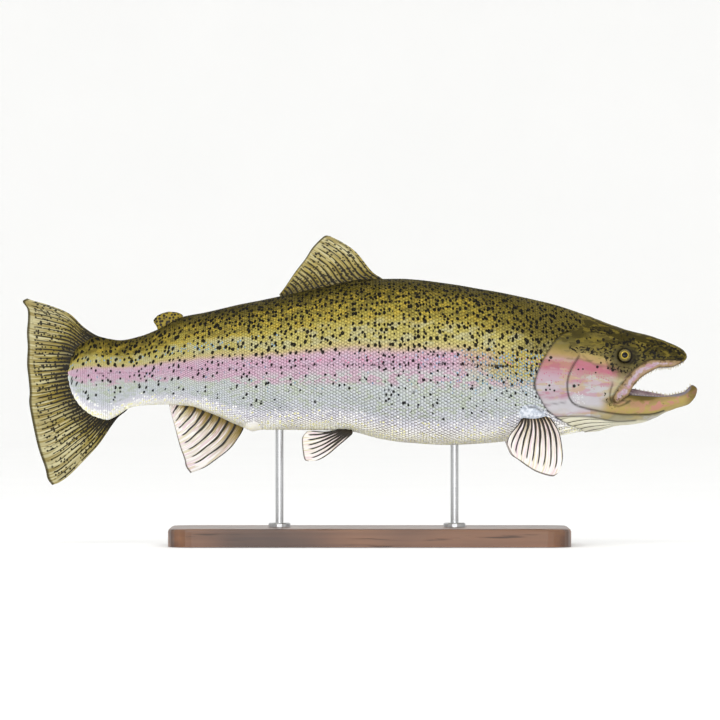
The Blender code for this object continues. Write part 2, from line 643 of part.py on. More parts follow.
def main():
    start_clean()
    where = new_collection("rainbow_trout")
    cutters = new_collection("cutters")
    whole = make_object("body", body_loft(), cutters)
    add_teeth(whole, lip, half_width, -1, np.linspace(281, 317, TEETH_PER_SIDE), cutters)
    pieces = part_the_body(whole, where, cutters)

    head = pieces["head"]
    for ending, side in {"left": 1, "right": -1}.items():
        gill = make_object(f"gill_cover_{ending}",
                           head_plate(GILL_FRONT, gill_border(), 12, 5, side), where)
        maxilla = make_object(f"maxilla_{ending}",
                              head_plate(MAXILLA_UPPER, MAXILLA_LOWER, 12, 3, side), where)
        cut(head, make_object(f"socket_{ending}", eye(side, GAP), cutters))
        finish_piece(gill, (0.53, 0.36, 0.36), 0.3)
        finish_piece(maxilla, (0.40, 0.32, 0.27), 0.4)
        finish_piece(make_object(f"eye_{ending}", eye(side), where), (0.25, 0.20, 0.07), 0.08)

    jaw = make_object("lower_jaw", jaw_loft(), where)
    add_teeth(jaw, jaw_lip, jaw_half_width, 1, np.linspace(276, 322, TEETH_PER_SIDE), cutters)
    finish_piece(jaw, (0.48, 0.34, 0.16), 0.4)
    finish_piece(make_object("tongue", ball(TONGUE_CENTRE, TONGUE_RADII, 12, 8), where),
                 (0.55, 0.42, 0.42), 0.3)

    around = make_object("around_body", body_loft(GAP), cutters)
    make_fins(around, where)

    for name, x in ROD_PLACES.items():
        socket = cylinder(ROD_RADIUS + GAP, keel(x) - 5, keel(x) + ROD_IN_BODY + GAP, x)
        carried = pieces["trunk_front" if x > TRUNK_CUT else "trunk_rear"]
        cut(carried, make_object(f"belly_socket_{name}", socket, cutters))
        make_rod(name, x, where)
    make_base(where, cutters)

    for name, colour in SKIN_COLOURS.items():
        finish_piece(pieces[name], colour, 0.35)
    for cutter in cutters.objects:
        cutter.hide_render = True
        cutter.display_type = "WIRE"


main()
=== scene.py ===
"""The looks of a life-size rainbow trout above a display stand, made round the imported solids.

Tables hold millimetres: x runs forward from the middle of the fish, z is the height above the floor
and y points to the fish's left. Points are worked out in millimetres and turned into metres when a
mesh is made.
"""

import math

import bpy
import numpy as np
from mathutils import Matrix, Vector


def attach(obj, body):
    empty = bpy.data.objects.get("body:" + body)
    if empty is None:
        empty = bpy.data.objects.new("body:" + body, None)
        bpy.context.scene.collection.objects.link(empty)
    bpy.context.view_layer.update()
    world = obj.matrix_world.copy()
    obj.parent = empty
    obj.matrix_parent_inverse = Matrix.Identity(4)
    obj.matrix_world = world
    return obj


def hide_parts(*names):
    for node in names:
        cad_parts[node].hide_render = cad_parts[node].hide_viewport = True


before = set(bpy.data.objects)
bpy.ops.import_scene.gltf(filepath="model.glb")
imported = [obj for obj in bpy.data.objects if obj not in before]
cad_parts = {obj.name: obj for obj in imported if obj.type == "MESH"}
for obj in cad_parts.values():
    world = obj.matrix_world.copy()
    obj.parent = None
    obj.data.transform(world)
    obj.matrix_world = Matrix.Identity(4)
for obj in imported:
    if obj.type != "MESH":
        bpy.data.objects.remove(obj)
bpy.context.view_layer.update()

MM = 0.001

# ---------------------------------------------------------------- the body's lines, seen from the side

CREST = [
    (-292.5, 171), (-291.5, 178), (-287.5, 191), (-277.5, 202.5), (-263.5, 208.5), (-252.5, 206.8),
    (-239.5, 205), (-219.5, 209), (-201.5, 216), (-178.5, 228), (-155.5, 232.5), (-123.5, 240),
    (-83.5, 248), (-38.5, 258), (5.5, 266), (40.5, 266.5), (80.5, 262.8), (120.5, 256.3),
    (160.5, 248.7), (196.5, 240), (228.5, 229.5), (260.5, 217.5), (290.5, 209.5), (315.5, 200.3),
    (323.5, 195.5), (327.5, 190.5)]
KEEL = [
    (-292.5, 169), (-291.3, 162), (-286.5, 147.5), (-276.5, 134.5), (-264, 127), (-252.5, 124.5),
    (-241.5, 129.5), (-230.5, 136.5), (-219.5, 139), (-194.5, 140), (-169, 138.5), (-155.5, 134),
    (-140.5, 128), (-125.5, 121), (-106.5, 115), (-69.5, 114.7), (-27.5, 114.3), (-7.5, 113),
    (20.5, 106), (48.5, 102), (90.5, 99.7), (132.5, 102), (170.5, 106), (201.5, 109.5), (221.5, 113),
    (240.5, 115), (256.5, 119), (273.5, 120.3), (294.5, 126), (304.5, 131.5), (315.5, 136),
    (328.5, 140), (335.5, 147), (338, 154)]
WIDEST = [
    (-292.5, 170), (-252.5, 166), (-219.5, 173), (-150, 183), (-80, 182), (80, 181), (160, 178),
    (200, 171), (240.5, 163), (268, 161), (290, 169), (310, 176), (327.5, 187)]
HALF_WIDTH = [
    (-292.5, 0.9), (-286, 1.9), (-275, 3.6), (-263.5, 5.8), (-252.5, 8.4), (-241.5, 11.2), (-209.5, 17),
    (-169.5, 23.5), (-129.5, 30), (-79.5, 36.5), (-29.5, 40.5), (20.5, 42.5), (70.5, 43), (120.5, 41.5),
    (170.5, 38.5), (195.5, 36), (220.5, 32.5), (240.5, 28.5), (263.5, 24), (290.5, 18), (310.5, 13.5),
    (320.5, 9.5), (325.5, 5.5), (327.5, 2.5)]
LIP = [
    (-292.5, 168), (-252.5, 152), (-150, 165), (100, 160), (200, 148), (240.5, 141), (255.5, 144.5),
    (268.2, 150.5), (271, 156.5), (275.2, 162.4), (280.5, 168), (289.2, 173.6), (299.1, 178),
    (310.5, 178.5), (318.5, 181.3), (324.5, 184.5), (327.5, 187.5)]
BACK_ROUNDNESS = [(-252.5, 2.1), (100, 2.0), (220, 2.3), (280, 2.5), (327.5, 2.2)]
BELLY_ROUNDNESS = 2.25
JAW_LIP = [
    (268, 150.1), (280.5, 149), (301.5, 148), (315.5, 150), (324.5, 152.5), (328.5, 156),
    (332.5, 159.4), (336.5, 157.5), (338, 155.5)]
JAW_WIDEST = [(240.5, 163), (268, 155), (285, 149), (301.5, 147), (325, 150), (338, 154.7)]
JAW_HALF_WIDTH = [
    (240.5, 28.5), (268, 22.5), (280.5, 19), (295.5, 15.5), (310.5, 11.8), (324.5, 8), (330.5, 6),
    (335.5, 4), (338, 1.2)]
# Inside of the mouth: the height of the vault, the depth of the floor and the half width at the gums.
VAULT = [(212, 151), (222, 161), (240.5, 168), (268, 172), (290, 181), (310, 186), (327.5, 189)]
FLOOR_DEPTH = [(212, 1), (222, 6), (240.5, 9.5), (300, 9), (318, 5), (330, 1.8), (338, 0.4)]
GUM_HEIGHT = [(212, 150), (240, 149), (258, 149), (268, 150.4)]
GUM_HALF_WIDTH = [(212, 1.0), (218, 9), (230, 16.5), (250, 19.5), (262, 21.2), (268, 22.4)]
LIP_THICKNESS = 4.5
COAT_DEPTH = 0.35              # how far the skin lies under the outer surface of the solids

TAIL_END = -292.5
JAW_BACK = 240.5
MOUTH_CORNER = 268.0
MOUTH_BACK = 212.0
SNOUT = 327.5
JAW_TIP = 337.8
HEAD_START = 168.0             # where the fine part of the skin begins

GILL_EDGE = [
    (216, 262), (221, 230), (223.5, 219.5), (212, 214.5), (200.5, 209.5), (193.5, 202), (186.5, 192),
    (178.5, 176.4), (175, 165), (175, 157), (179.5, 147), (186.5, 136), (195.5, 128.6), (206.5, 121.8),
    (216, 118), (224, 114), (230, 106)]
CHEEK_LINE = [
    (218.7, 189.2), (212.6, 179.5), (208.4, 170), (206.6, 160), (208.4, 148), (213.8, 141),
    (223.5, 137.4), (233.2, 135.2), (245.3, 132.8), (263.5, 130.5), (280, 130.3), (293.8, 131),
    (304, 134)]
THROAT_SEAM = [
    (195.5, 128.8), (209, 129), (226, 128.8), (238, 126.8), (248, 124.6), (262, 123.5), (276, 124.5)]
GILL_SEAM = [(205, 143), (193, 141.5), (184, 141)]
BROW_SEAM = [(246, 183), (252, 176), (262, 172.5), (273, 175), (280, 181)]
CHEEK_SEAM = [(222, 190), (233, 181), (247, 177)]
CORNER_FOLD = [(252.3, 161.4), (249.8, 153), (250.4, 144.5), (256.5, 139), (263.5, 140.5), (270, 144.6)]
MAXILLA = [
    (321.5, 184.5), (304, 185), (287.5, 184.2), (273.5, 175.5), (264, 165), (256, 154.5), (252, 147),
    (252.8, 143.2), (256, 142), (261.5, 144.5), (267.5, 149.5), (271, 155.5), (275.2, 161.4),
    (280.5, 167), (289.2, 172.6), (299.1, 177), (310.5, 177.5), (321, 181.5)]
GUM_LINE = [(290, 148.0), (316, 147.8), (324, 149.6), (328, 152), (332, 156)]
EYE_PLACE = (264.0, 189.0)
EYE_RADIUS = 7.6               # of the opening
EYEBALL = (8.6, 7.0)           # half height and half depth
EYEBALL_SUNK = 4.6             # how far its middle lies under the side of the head
EYE_TURN = (0.04, 0.14)        # how far it looks forward and up
EYE_ROWS = 48
EYE_COLUMNS = 64
NOSTRILS = [(287.5, 199.5, 1.7), (296.0, 194.5, 1.3)]      # x, z and radius
VENT = (-107.0, 116.0)
EYE_SOCKET = (264.0, 184.0)    # middle of the dark skin round the eye
EYELID = (271.2, 187.8)        # middle of the darkest skin, before the eye
CHEEK_GLINTS = (219.0, 146.0)  # middle of the glints on the cheek
DOME_CENTRE = (172.5, 131.0)   # the bare dome over the pectoral fin's root
DOME_REACH = (13.5, 9.5)
DOME_TILT = 0.15
THROAT_RAYS = 4.0              # rays from seam to keel; they gain one over each length of RAY_LEAN
RAY_LEAN = 34.0
RAY_START = 200.0
CHIN_TOP = 168.0               # nothing of the lower jaw's front is higher, nothing of the snout lower
# Black spots of the head, which lie alike on both sides: x, z and radius.
HEAD_SPOTS = [
    (217.5, 203.2, 2.2), (243.0, 205.4, 1.4), (253.8, 206.0, 1.3), (273.2, 206.0, 1.5),
    (263.5, 201.7, 1.5), (246.5, 200.4, 2.0), (207.0, 207.0, 1.3), (190.2, 187.4, 1.6),
    (188.6, 184.7, 1.0), (252.2, 175.0, 1.6), (247.5, 177.0, 1.2), (236.8, 178.1, 1.4),
    (213.5, 159.3, 1.6), (218.0, 160.2, 0.8), (188.7, 159.6, 1.2), (185.3, 155.3, 1.1),
    (189.3, 155.8, 0.9), (193.8, 154.7, 1.0), (240.3, 182.3, 1.0), (217.8, 175.7, 1.0),
    (222.3, 176.0, 0.9), (235.0, 172.4, 0.8), (294.5, 191.8, 1.2), (301.0, 193.5, 0.9)]
# Where fine dark dabs gather on the head: a line, how far they reach from it and how dense they are.
SMUDGES = [
    ([(212, 196), (226, 195), (243, 192)], 3.5, 0.9), ([(231, 216), (246, 214), (268, 210)], 3.5, 0.8),
    ([(244, 194), (254, 200), (266, 203), (280, 198), (290, 192)], 5.0, 0.9),
    ([(246, 186), (254, 177), (266, 175), (282, 184)], 4.0, 0.9),
    ([(252, 187), (252, 195), (258, 201), (268, 203), (277, 199), (280, 191)], 2.6, 0.9),
    ([(274, 184), (283, 190), (294, 191)], 4.5, 0.9), ([(292, 201), (306, 198), (322, 190)], 4.5, 0.8),
    ([(244, 154), (247, 144), (256, 136)], 2.6, 0.5), ([(286, 189), (306, 188), (322, 187)], 3.0, 0.7)]
LATERAL = [
    (-292.5, 172), (-220, 173), (-120, 178), (0, 181.5), (100, 182), (175, 178), (200, 176), (240, 171),
    (255, 168), (268, 163), (290, 158), (327.5, 162)]


# ---------------------------------------------------------------- curves and small array helpers

def curve(knots):
    """A smooth function through (x, value) knots: cubic pieces whose slopes are harmonic means."""
    xs, ys = (np.array(column, float) for column in zip(*sorted(knots)))
    steps = np.diff(xs)
    slopes = np.diff(ys) / steps
    product = slopes[:-1] * slopes[1:]
    total = np.where(product > 0, slopes[:-1] + slopes[1:], 1.0)
    inner = np.where(product > 0, 2 * product / total, 0.0)
    tangents = np.concatenate([slopes[:1], inner, slopes[-1:]])

    def value(x):
        x = np.clip(x, xs[0], xs[-1])
        i = np.clip(np.searchsorted(xs, x) - 1, 0, len(steps) - 1)
        t = (x - xs[i]) / steps[i]
        return ((1 + 2 * t) * (1 - t) ** 2 * ys[i] + t * (1 - t) ** 2 * steps[i] * tangents[i]
                + t * t * (3 - 2 * t) * ys[i + 1] + t * t * (t - 1) * steps[i] * tangents[i + 1])

    return value


def together(*parts):
    """Arrays of matching shapes as the last axis of one array, such as x, y and z as points."""
    return np.stack(np.broadcast_arrays(*parts), axis=-1)


def running(steps):
    """Running sums of steps along the last axis, from zero."""
    return np.concatenate([0 * steps[..., :1], np.cumsum(steps, axis=-1)], axis=-1)


def unit(vectors):
    """Vectors divided by their lengths."""
    return vectors / np.linalg.norm(vectors, axis=-1, keepdims=True)


def full_turn(count):
    """Evenly spaced angles round a circle, without the last, which is the first again."""
    return np.linspace(0, 2 * np.pi, count, endpoint=False)


def catmull_rom(a, b, c, d, t):
    """The cubic that runs from b to c as t grows from 0 to 1, with slopes from the points a and d."""
    return 0.5 * (2 * b + (c - a) * t + (2 * a - 5 * b + 4 * c - d) * t ** 2
                  + (3 * b - a - 3 * c + d) * t ** 3)


def path(points, count):
    """Evenly spaced points on a Catmull-Rom curve through the given ones."""
    points = np.array(points, float)
    padded = np.vstack([2 * points[0] - points[1], points, 2 * points[-1] - points[-2]])
    t = np.linspace(0, 1, 24, endpoint=False)[:, None, None]
    fine = catmull_rom(padded[:-3], padded[1:-2], padded[2:-1], padded[3:], t)
    fine = np.vstack([fine.transpose(1, 0, 2).reshape(-1, points.shape[1]), points[-1:]])
    reach = running(np.linalg.norm(np.diff(fine, axis=0), axis=1))
    wanted = np.linspace(0, reach[-1], count)
    return together(*(np.interp(wanted, reach, column) for column in fine.T))


def smooth(low, high, value):
    """0 up to low, 1 from high on and a smooth cubic step between them; low may be the larger one."""
    t = np.clip((value - low) / (high - low), 0, 1)
    return t * t * (3 - 2 * t)


def bell(value, width):
    """A bump of height 1 that falls off as a Gaussian with the given width."""
    return np.exp(-(value / width) ** 2)


def distance_to(line, x, z):
    """Distance from each (x, z) to a polyline: the least distance to any of its segments."""
    best = np.full(x.shape, np.inf)
    for (ax, az), (bx, bz) in zip(line[:-1], line[1:]):
        dx, dz = bx - ax, bz - az
        t = np.clip(((x - ax) * dx + (z - az) * dz) / (dx * dx + dz * dz), 0, 1)
        best = np.minimum(best, np.hypot(x - ax - t * dx, z - az - t * dz))
    return best


def inside(outline, x, z):
    """True in a closed outline: a ray to the right crosses it an odd number of times."""
    found = np.zeros(x.shape, bool)
    for (ax, az), (bx, bz) in zip(outline, np.roll(outline, -1, axis=0)):
        crosses = (az > z) != (bz > z)
        found ^= crosses & (x < (bx - ax) * (z - az) / (bz - az + 1e-12) + ax)
    return found


def depth_in(outline, edge, x, z):
    """Distance from a place to an edge line, positive inside an outline and negative outside."""
    away = distance_to(edge, x, z)
    return np.where(inside(outline, x, z), away, -away)


WAVES = 7


def ripple(points, size, seed):
    """Smooth noise between about -1 and 1: a sum of sine waves with random directions and phases."""
    rng = np.random.default_rng(seed)
    directions = unit(rng.normal(size=(WAVES, points.shape[-1])))
    turns = 2 * np.pi / (size * rng.uniform(0.7, 1.4, WAVES))
    phases = rng.uniform(0, 2 * np.pi, WAVES)
    return np.sin(points @ (directions * turns[:, None]).T + phases).sum(axis=-1) / math.sqrt(WAVES)


def dome(x, z):
    """Depth in the bare dome over the pectoral fin: 1 in its middle, 0 at its tilted oval edge."""
    across, up = x - DOME_CENTRE[0], z - DOME_CENTRE[1]
    up = up + DOME_TILT * across
    return np.clip(1 - np.hypot(across / DOME_REACH[0], up / DOME_REACH[1]), -1, 1)


def swelling(points):
    """Soft swellings of the flesh, which skin and scales share."""
    bulge = 1.5 * smooth(0, 0.7, dome(points[:, 0], points[:, 2]))
    return 0.1 * ripple(points, 38, 8) + bulge


crest, keel, widest = curve(CREST), curve(KEEL), curve(WIDEST)
half_width, lip, back_roundness = curve(HALF_WIDTH), curve(LIP), curve(BACK_ROUNDNESS)
open_jaw_lip, jaw_widest, jaw_half_width = curve(JAW_LIP), curve(JAW_WIDEST), curve(JAW_HALF_WIDTH)
vault, floor_depth = curve(VAULT), curve(FLOOR_DEPTH)
gum_height, gum_half_width = curve(GUM_HEIGHT), curve(GUM_HALF_WIDTH)
lateral, throat_seam, cheek_height = curve(LATERAL), curve(THROAT_SEAM), curve(CHEEK_LINE[6:])

gill_line = path(GILL_EDGE, 90)
head_outline = np.vstack([gill_line, [(230, 60), (400, 60), (400, 300), (216, 300)]])
maxilla_outline = path(MAXILLA, 80)
along_body = np.linspace(TAIL_END, SNOUT, 120)
body_outline = np.vstack([np.stack([along_body, crest(along_body)], axis=1)[::-1],
                          np.stack([along_body, keel(along_body)], axis=1)])


# ---------------------------------------------------------------- meshes

def grid_quads(index, closed=False):
    """The quads between neighbouring rows and columns of a table of vertex numbers."""
    if closed:
        index = np.hstack([index, index[:, :1]])
    a, b = index[:-1, :-1], index[:-1, 1:]
    c, d = index[1:, 1:], index[1:, :-1]
    return together(a, b, c, d).reshape(-1, 4)


def numbers_of(grid, poles=0):
    """Vertex numbers of a grid of points; the first and last of the given poles are single points."""
    index = np.arange(grid.shape[0] * grid.shape[1]).reshape(grid.shape[:2])
    for row in (0, -1)[:poles]:
        index[row] = index[row, 0]
    return index


def make_piece(name, points, quads):
    """A mesh object at the origin from points in millimetres and quads, which may hold triangles."""
    mesh = bpy.data.meshes.new(name)
    mesh.from_pydata((points * MM).tolist(), [], [list(dict.fromkeys(q)) for q in quads.tolist()])
    mesh.validate()
    mesh.shade_smooth()
    piece = bpy.data.objects.new(name, mesh)
    bpy.context.scene.collection.objects.link(piece)
    return piece


def store(piece, name, values):
    """Keep one number or one vector for each vertex as an attribute that materials read."""
    kind, key = ("FLOAT", "value") if values.ndim == 1 else ("FLOAT_VECTOR", "vector")
    kept = piece.data.attributes.new(name, kind, "POINT")
    kept.data.foreach_set(key, np.ascontiguousarray(values, np.float32).ravel())


def dress(piece, material, slot, *nodes):
    """Give a piece its material and body, and hide the solids that it stands for; the slot is not used.
    """
    piece.data.materials.append(material)
    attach(piece, "root")
    if nodes:
        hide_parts(*nodes)


def vertex_normals(points, quads):
    """Unit normals: the sum of the diagonal cross products of the quads round each vertex."""
    corners = points[quads]
    faces = np.cross(corners[:, 2] - corners[:, 0], corners[:, 3] - corners[:, 1])
    total = np.zeros_like(points)
    for k in range(4):
        np.add.at(total, quads[:, k], faces)
    length = np.linalg.norm(total, axis=1)[:, None]
    return total / np.where(length > 0, length, 1)


# ---------------------------------------------------------------- sections of the body

def rounded(angle, roundness):
    """Across and up on a unit superellipse: powers of cosine and sine that keep their signs."""
    across = np.abs(np.cos(angle)) ** (2 / roundness)
    up = np.sign(np.sin(angle)) * np.abs(np.sin(angle)) ** (2 / roundness)
    return across, up


def angle_at(height, roundness):
    """The angle where a unit superellipse reaches a height between -1 and 1."""
    height = np.clip(height, -1, 1)
    return np.sign(height) * np.arcsin(np.abs(height) ** (roundness / 2))


def section(x, angle, extra=0.0):
    """Half width and height of the body at x and an angle: 90 degrees at the crest, -90 at the keel."""
    upper_across, upper_up = rounded(angle, back_roundness(x))
    lower_across, lower_up = rounded(angle, BELLY_ROUNDNESS)
    above = angle >= 0
    middle = widest(x)
    reach = np.where(above, crest(x) - middle, middle - keel(x)) + extra
    wide = np.maximum(half_width(x) + extra, 0.3)
    return (np.where(above, upper_across, lower_across) * wide,
            middle + np.where(above, upper_up, lower_up) * reach)


def angle_for(x, z, extra=0.0):
    """The angle at which the body's section at x reaches a height."""
    middle = widest(x)
    above = angle_at((z - middle) / (crest(x) + extra - middle), back_roundness(x))
    below = -angle_at((middle - z) / (middle - keel(x) + extra), BELLY_ROUNDNESS)
    return np.where(z >= middle, above, below)


def lip_angle(x, extra=0.0):
    """The angle of the body's section at the height of the lip line."""
    return angle_for(x, lip(x), extra)


def side_of_body(x, z):
    """Half width of the body at a place in the side view."""
    return section(x, angle_for(x, z))[0]


def arc_lengths(x):
    """Angles from crest to keel, and the lengths of arc from the crest to them on the sections at x."""
    angles = np.linspace(np.pi / 2, -np.pi / 2, 241)
    wide, high = section(x[:, None], angles[None, :], -COAT_DEPTH)
    return angles, running(np.hypot(np.diff(wide, axis=1), np.diff(high, axis=1)))


def arc_at(points):
    """Length of arc from the crest to each point, positive on the left and negative on the right."""
    x, y, z = points.T
    reach = arc_lengths(np.linspace(TAIL_END, SNOUT, 320))[1]
    middle = widest(x)
    above = z >= middle
    reach_up = np.where(above, crest(x) - middle, middle - keel(x)) - COAT_DEPTH
    up = np.abs(z - middle) / np.maximum(reach_up, 0.2)
    across = np.abs(y) / np.maximum(half_width(x) - COAT_DEPTH, 0.3)
    power = np.where(above, back_roundness(x), BELLY_ROUNDNESS) / 2
    angle = np.arctan2(np.where(above, 1, -1) * up ** power, across ** power)
    row = np.clip((x - TAIL_END) / (SNOUT - TAIL_END), 0, 1) * (reach.shape[0] - 1.001)
    column = np.clip(0.5 - angle / np.pi, 0, 1) * (reach.shape[1] - 1.001)
    i, j = row.astype(int), column.astype(int)
    u, v = row - i, column - j
    found = ((1 - u) * ((1 - v) * reach[i, j] + v * reach[i, j + 1])
             + u * ((1 - v) * reach[i + 1, j] + v * reach[i + 1, j + 1]))
    return np.sign(y) * found


def jaw_lip(x):
    """Height of the lower jaw's lip, which is the cheek line behind the corner of the mouth."""
    return np.where(x <= MOUTH_CORNER, lip(x), open_jaw_lip(x))


# ---------------------------------------------------------------- the skin

UPPER_COLUMNS = 70             # on one side, from crest to lip
LOWER_COLUMNS = 40             # on one side, from lip to keel
LINING_COLUMNS = 20            # on one side, from a lip to the middle of the mouth


def stations():
    """Sections from tail to jaw tip: close in the head, at the tail's end and round the mouth."""
    tail = TAIL_END + 42 * (1 - np.cos(np.linspace(0, np.pi / 2, 26)))
    trunk = np.linspace(tail[-1], HEAD_START, 126)[1:]
    head = np.linspace(HEAD_START, MOUTH_CORNER, 118)[1:]
    gape = np.linspace(MOUTH_CORNER, SNOUT - 3, 67)[1:]
    snout = SNOUT - 3 * np.cos(np.linspace(0, np.pi / 2, 9))[1:]
    tip = np.linspace(SNOUT, JAW_TIP, 17)[1:]
    return np.concatenate([tail, trunk, head, gape, snout, tip])


def mirrored_row(half):
    """A row over the whole width from its right half, listed from the right edge to the middle."""
    left = half[:, -2::-1].copy()
    left[..., 1] *= -1
    return np.concatenate([half, left], axis=1)


def upper_skin(xs):
    """Back and cheeks: angles run from the lip line over the crest to the other lip line."""
    x = xs[:, None]
    share = np.linspace(0, 1, UPPER_COLUMNS + 1)[None, :]
    start = lip_angle(x, -COAT_DEPTH)
    angle = start + (np.pi / 2 - start) * share
    wide, high = section(x, angle, -COAT_DEPTH)
    wide[:, -1] = 0
    return mirrored_row(together(x, -wide, high))


def lower_skin(xs, border):
    """Belly, throat and lower jaw, stretched so that its border meets the border of the upper skin."""
    x = xs[:, None]
    share = np.linspace(0, 1, LOWER_COLUMNS + 1)[None, :]
    in_jaw = x > JAW_BACK
    middle = np.where(in_jaw, jaw_widest(x), widest(x))
    wide = np.where(in_jaw, jaw_half_width(x), half_width(x)) - COAT_DEPTH
    wide = np.maximum(wide, 0.3)
    reach = np.maximum(middle - keel(x) - COAT_DEPTH, 0.2)
    start = -angle_at(np.clip((middle - jaw_lip(x)) / reach, 0, 0.9), BELLY_ROUNDNESS)
    angle = start + (-np.pi / 2 - start) * share
    across, up = rounded(angle, BELLY_ROUNDNESS)
    y, z = across * wide, middle + up * reach
    y[:, -1] = 0
    drop = (jaw_lip(x)[:, :1] - z[:, :1]) * (1 - share) ** 2
    z = z + drop
    welded = xs <= MOUTH_CORNER
    factor = np.where(welded, border[:, 1] / np.maximum(y[:, 0], 0.01), 1.0)[:, None]
    y = y * factor
    half = together(x, -y, z)
    half[welded, 0, 1] = -border[welded, 1]
    half[welded, 0, 2] = border[welded, 2]
    return mirrored_row(half)


def through_points(controls, count):
    """Rows of points on smooth curves through control points that are given for each row."""
    steps = controls.shape[1] - 1
    place = np.linspace(0, steps, count)
    i = np.minimum(place.astype(int), steps - 1)
    t = (place - i)[None, :, None]
    padded = np.concatenate([2 * controls[:, :1] - controls[:, 1:2], controls,
                             2 * controls[:, -1:] - controls[:, -2:-1]], axis=1)
    return catmull_rom(padded[:, i], padded[:, i + 1], padded[:, i + 2], padded[:, i + 3], t)


def lining(edge, middle_height, way):
    """A mouth wall from the lip edge over a rolled lip and the gum to the middle of the mouth."""
    xs, wide, high = edge[:, 0], -edge[:, 1], edge[:, 2]
    thick = np.minimum(LIP_THICKNESS, wide * 0.6)
    bead = way * (1.1 * smooth(MOUTH_CORNER, MOUTH_CORNER + 6, xs) - 0.2)
    rise = middle_height - high
    inner = wide - thick
    roll = bead * np.minimum(1, wide / 6)
    controls = [(wide, high), (wide - 0.28 * thick, high - roll),
                (wide - 0.62 * thick, high - 0.1 * roll), (inner, high + 0.06 * rise),
                (0.80 * inner, high + 0.55 * rise), (0.45 * inner, high + 0.92 * rise),
                (0, middle_height)]
    rows = np.stack([together(xs, -y, z) for y, z in controls], axis=1)
    return mirrored_row(through_points(rows, LINING_COLUMNS + 1))


def skin_arrays():
    """Points, quads and mouth marks of the closed skin; its parts share their border vertices."""
    xs = stations()
    corner, snout, back = (int(np.argmin(np.abs(xs - place)))
                           for place in (MOUTH_CORNER, SNOUT, MOUTH_BACK))
    upper = upper_skin(xs[:snout + 1])
    border = np.zeros((len(xs), 3))
    border[:snout + 1] = upper[:, 0] * (1, -1, 1)
    lower = lower_skin(xs, border)
    inner_x, roof_x, floor_x = xs[back:corner], xs[back:snout + 1], xs[back:]
    inner_edge = together(inner_x, -gum_half_width(inner_x), gum_height(inner_x))
    roof_edge = np.concatenate([inner_edge, upper[corner:, 0]])
    floor_edge = np.concatenate([inner_edge, lower[corner:, 0]])
    roof = lining(roof_edge, vault(roof_x), 1)
    floor = lining(floor_edge, floor_edge[:, 2] - floor_depth(floor_x), -1)

    parts = (upper, lower, roof, floor)
    points = np.concatenate([part.reshape(-1, 3) for part in parts])
    starts = np.cumsum([0] + [part.size // 3 for part in parts])
    over, under, top, bottom = (numbers_of(part) + start for part, start in zip(parts, starts))
    depth = corner - back
    edges = [0, -1]
    under[:corner + 1, edges] = over[:corner + 1, edges]
    top[depth:, edges] = over[corner:, edges]
    bottom[depth + 1:, edges] = under[corner + 1:, edges]
    bottom[:depth + 1, edges] = top[:depth + 1, edges]
    ends = [(over[0], over[0, 0]), (under[0], over[0, 0]), (over[-1], over[-1, 0]),
            (top[-1], over[-1, 0]), (under[-1], under[-1, 0]), (bottom[-1], under[-1, 0]),
            (top[0], top[0, 0]), (bottom[0], top[0, 0])]
    joined = np.arange(len(points))
    for row, target in ends:
        points[target] = (points[target][0], 0, points[row][:, 2].mean())
        joined[row] = target
    over, under, top, bottom = (joined[part] for part in (over, under, top, bottom))
    quads = np.concatenate([grid_quads(over)[:, ::-1], grid_quads(under), grid_quads(top),
                            grid_quads(bottom)[:, ::-1]])
    used = np.unique(quads)
    renumber = np.zeros(len(points), int)
    renumber[used] = np.arange(len(used))
    mouth = np.zeros(len(points))
    for part, value in ((top, 1), (bottom, 1), (over, 0), (under, 0)):
        mouth[part.ravel()] = value
    return points[used], renumber[quads], mouth[used]


def head_relief(x, z):
    """Bones and folds of the head as a height over the skin, and the painted shade of its creases."""
    signed = depth_in(head_outline, gill_line, x, z)
    flap = smooth(-0.5, 0.7, signed) * np.exp(-np.maximum(signed, 0) / 16) * 1.6
    gap = bell(signed + 1.3, 1.1)
    fade = np.where(z > 200, smooth(236, 214, x) * smooth(226, 212, z), 1)
    height = (flap - 0.9 * gap) * fade
    crease_shade = bell(signed + 0.6, 1.2) * fade
    for line, depth, width in ((CHEEK_LINE, 0.8, 1.0), (GILL_SEAM, 0.4, 0.8), (THROAT_SEAM, 0.7, 0.9),
                               (BROW_SEAM, 0.35, 0.9), (CHEEK_SEAM, 0.3, 0.9), (CORNER_FOLD, 0.6, 0.9)):
        away = distance_to(path(line, 30), x, z)
        height = height - depth * bell(away, width)
        crease_shade = np.maximum(crease_shade, 1.2 * depth * bell(away, width))
    bone = depth_in(maxilla_outline, np.vstack([maxilla_outline, maxilla_outline[:1]]), x, z)
    height = height + 1.1 * smooth(-0.5, 1.6, bone) - 0.5 * bell(bone + 1.0, 0.8)
    crease_shade = np.maximum(crease_shade, 0.8 * bell(bone + 0.5, 0.7))
    return height, crease_shade


def eye_relief(x, z):
    """A raised rim round the eye, a bed under the eyeball, and two nostrils with rims, with painted
    shade at the eye's edge, in a soft ring round it and in the nostrils.
    """
    away = np.hypot(x - EYE_PLACE[0], z - EYE_PLACE[1])
    height = 0.9 * bell(away - EYE_RADIUS - 1.2, 1.3) - 3.0 * smooth(EYE_RADIUS, EYE_RADIUS - 1.6, away)
    crease_shade = np.maximum(bell(away - EYE_RADIUS - 0.1, 0.8), 0.6 * bell(away - 8, 4.5))
    for nx, nz, radius in NOSTRILS:
        away = np.hypot(x - nx, z - nz)
        hole = 1.5 * smooth(radius, radius * 0.4, away)
        height = height + 0.45 * bell(away - radius - 0.6, 0.7) - hole
        crease_shade = np.maximum(crease_shade, smooth(radius + 0.2, radius * 0.5, away))
    return height, crease_shade


def share_of_throat(x, z):
    """How far a place lies from the throat's seam (0) to the keel (1)."""
    top = throat_seam(x)
    return (top - z) / np.maximum(top - keel(x), 1)


